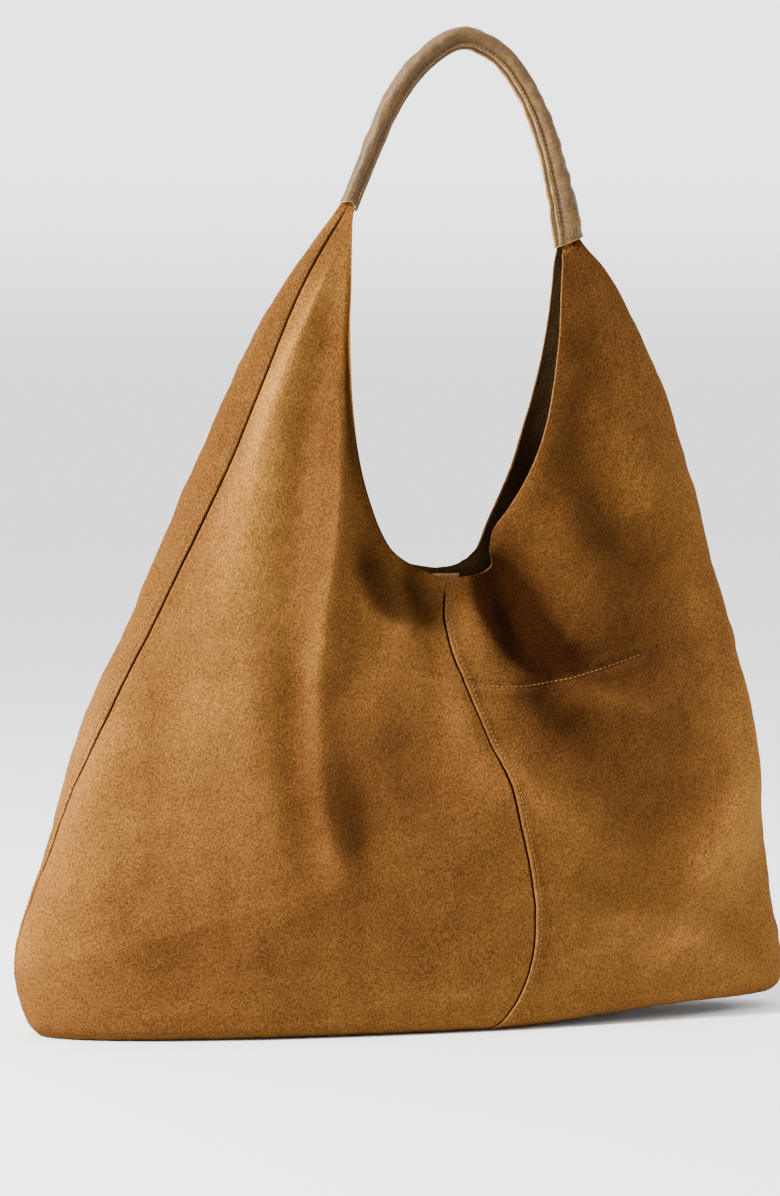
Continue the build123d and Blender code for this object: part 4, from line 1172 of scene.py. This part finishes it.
def cotton(name, grid, thickness, edge_bulge, node):
    """A sheet of the pocket's cloth."""
    obj = thick_sheet(name, grid, thickness, [COTTON], edge_bulge=edge_bulge)
    obj.data.polygons.foreach_set("material_index", np.zeros(len(obj.data.polygons), np.int32))
    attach(obj, "bag")
    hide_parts(node)
    return obj


def hanging_layer(name, node, low, high, y):
    """A hanging layer of cloth between two heights, with soft ripples where nothing holds it."""
    x = np.linspace(POCKET_LEFT, POCKET_RIGHT, 70)
    top = np.minimum(curve(POCKET_SEAM, x) - 1.5, high)
    t = np.linspace(0, 1, 44)[:, None]
    z = top[None] * (1 - t) + low * t
    x = np.broadcast_to(x, z.shape)
    if node == "pocket_back_layer":
        loose = smoothstep(0, 0.5, t)
    else:
        loose = smoothstep(0, 0.3, t) * smoothstep(1.0, 0.8, t)
    depth = y + 0.10 * loose * ripple(x, 0 * x, z * 0.3, 46, 31)
    grid = np.stack([x, depth, z], -1)
    obj = cotton(name, grid, 0.5, 0.1, node)


def pocket():
    back, front = POCKET_Y + 0.1, POCKET_Y + POCKET_SHEET + POCKET_GAP + 0.1
    hanging_layer("pocket_back_cloth", "pocket_back_layer", POCKET_BOTTOM, TO_SEAM, back)
    hanging_layer("pocket_upper_cloth", "pocket_upper_flap", ZIP_Z + ZIP_LAP, TO_SEAM, front)
    hanging_layer("pocket_pouch_cloth", "pocket_pouch", POCKET_BOTTOM, ZIP_Z - ZIP_LAP, front)
    x = np.linspace(POCKET_LEFT, POCKET_RIGHT, 90)
    turn = np.linspace(0, 1, 12)[:, None]
    z = (curve(POCKET_SEAM, x) - 1.5)[None] - 7.5 * turn
    y = POCKET_Y + POCKET_SHEET + 0.25 + 0.9 * np.sin(math.pi * turn) ** 0.7 + 0 * z
    cotton("pocket_rolled_hem", np.stack([np.broadcast_to(x, z.shape), y, z], -1), 0.2, 0.05, "pocket_hem")


pocket()

# The zip and the snap keep the shapes of the CAD.
KEPT = {
    "zip_upper_tape": TAPE, "zip_lower_tape": TAPE, "zip_upper_teeth": BRASS, "zip_lower_teeth": BRASS,
    "zip_end_stops": BRASS, "zip_slider": BRASS, "zip_pull": BRASS, "snap_socket": BRASS, "snap_stud": BRASS,
    "snap_socket_washer": BRASS, "snap_stud_washer": BRASS}
for node, material in KEPT.items():
    mesh = frame["nodes"][node].data
    mesh.materials.clear()
    mesh.materials.append(material)

# ---- camera and studio ----
CAMERA_AIM = (-10.6, 0.0, 268.5)
CAMERA_AZIMUTH, CAMERA_ELEVATION = -15.0, 3.6
CAMERA_DISTANCE, CAMERA_LENS = 2500.0, 119.07
PAPER, ROOM = 3.0, 0.9                      # brightness of the surroundings behind and above, and in front
FLOOR_REACH = 6000.0
HORIZON = 0.6                               # share of it that is left where the paper meets the floor


def camera():
    data = bpy.data.cameras.new("camera")
    data.lens = CAMERA_LENS
    data.clip_end = 50
    obj = bpy.data.objects.new("camera", data)
    bpy.context.scene.collection.objects.link(obj)
    a, e = math.radians(CAMERA_AZIMUTH), math.radians(CAMERA_ELEVATION)
    back = Vector((math.sin(a) * math.cos(e), -math.cos(a) * math.cos(e), math.sin(e)))
    obj.location = (Vector(CAMERA_AIM) + back * CAMERA_DISTANCE) * MM
    obj.rotation_euler = (-back).to_track_quat("-Z", "Y").to_euler()
    bpy.context.scene.camera = obj


def area_light(name, place, aim, size, energy, tint=(1, 1, 1)):
    data = bpy.data.lights.new(name, "AREA")
    data.shape = "DISK"
    data.size = size
    data.energy = energy
    data.color = tint
    obj = bpy.data.objects.new(name, data)
    obj.location = place
    obj.rotation_euler = (Vector(aim) - Vector(place)).to_track_quat("-Z", "Y").to_euler()
    bpy.context.scene.collection.objects.link(obj)


def studio():
    corners = ((-1, -1), (1, -1), (1, 1), (-1, 1))
    floor = new_object("floor", [(x * FLOOR_REACH, y * FLOOR_REACH, -0.3) for x, y in corners],
                       [(0, 1, 2, 3)], [], smooth=False)
    n = Nodes(bpy.data.materials.new("floor"))
    floor.data.materials.append(n.finish(Base_Color=(0.62, 0.62, 0.62, 1), Roughness=0.8))
    # White paper behind and above the bag and low all round, shaded where it meets the floor, and a
    # darker room in front.
    world = bpy.data.worlds.new("studio")
    n = Nodes(world)
    place = n.new("ShaderNodeTexCoord").outputs["Generated"]
    split = n.new("ShaderNodeSeparateXYZ", {0: place})
    back, up = split.outputs["Y"], split.outputs["Z"]
    behind = n.remap(back, 0.0, 0.6, how="SMOOTHSTEP")
    above = n.remap(up, 0.35, 0.75, how="SMOOTHSTEP")
    low = n.remap(up, 0.30, 0.12, how="SMOOTHSTEP")
    paper = n.math("MAXIMUM", n.math("MAXIMUM", behind, above), low)
    shade = n.remap(up, -0.01, 0.05, HORIZON, 1.0, how="SMOOTHSTEP")
    background = n.tree.nodes["Background"]
    n.put((1, 1, 1, 1), background.inputs["Color"])
    n.put(n.math("MULTIPLY", n.remap(paper, 0.0, 1.0, ROOM, PAPER), shade), background.inputs["Strength"])
    bpy.context.scene.world = world
    area_light("key", (-2.0, -0.5, 1.6), (0, 0, 0.2), 0.5, 380, (1.0, 0.98, 0.95))
    area_light("edge", (2.0, 0.1, 0.7), (0, 0, 0.2), 0.5, 24)


camera()
studio()
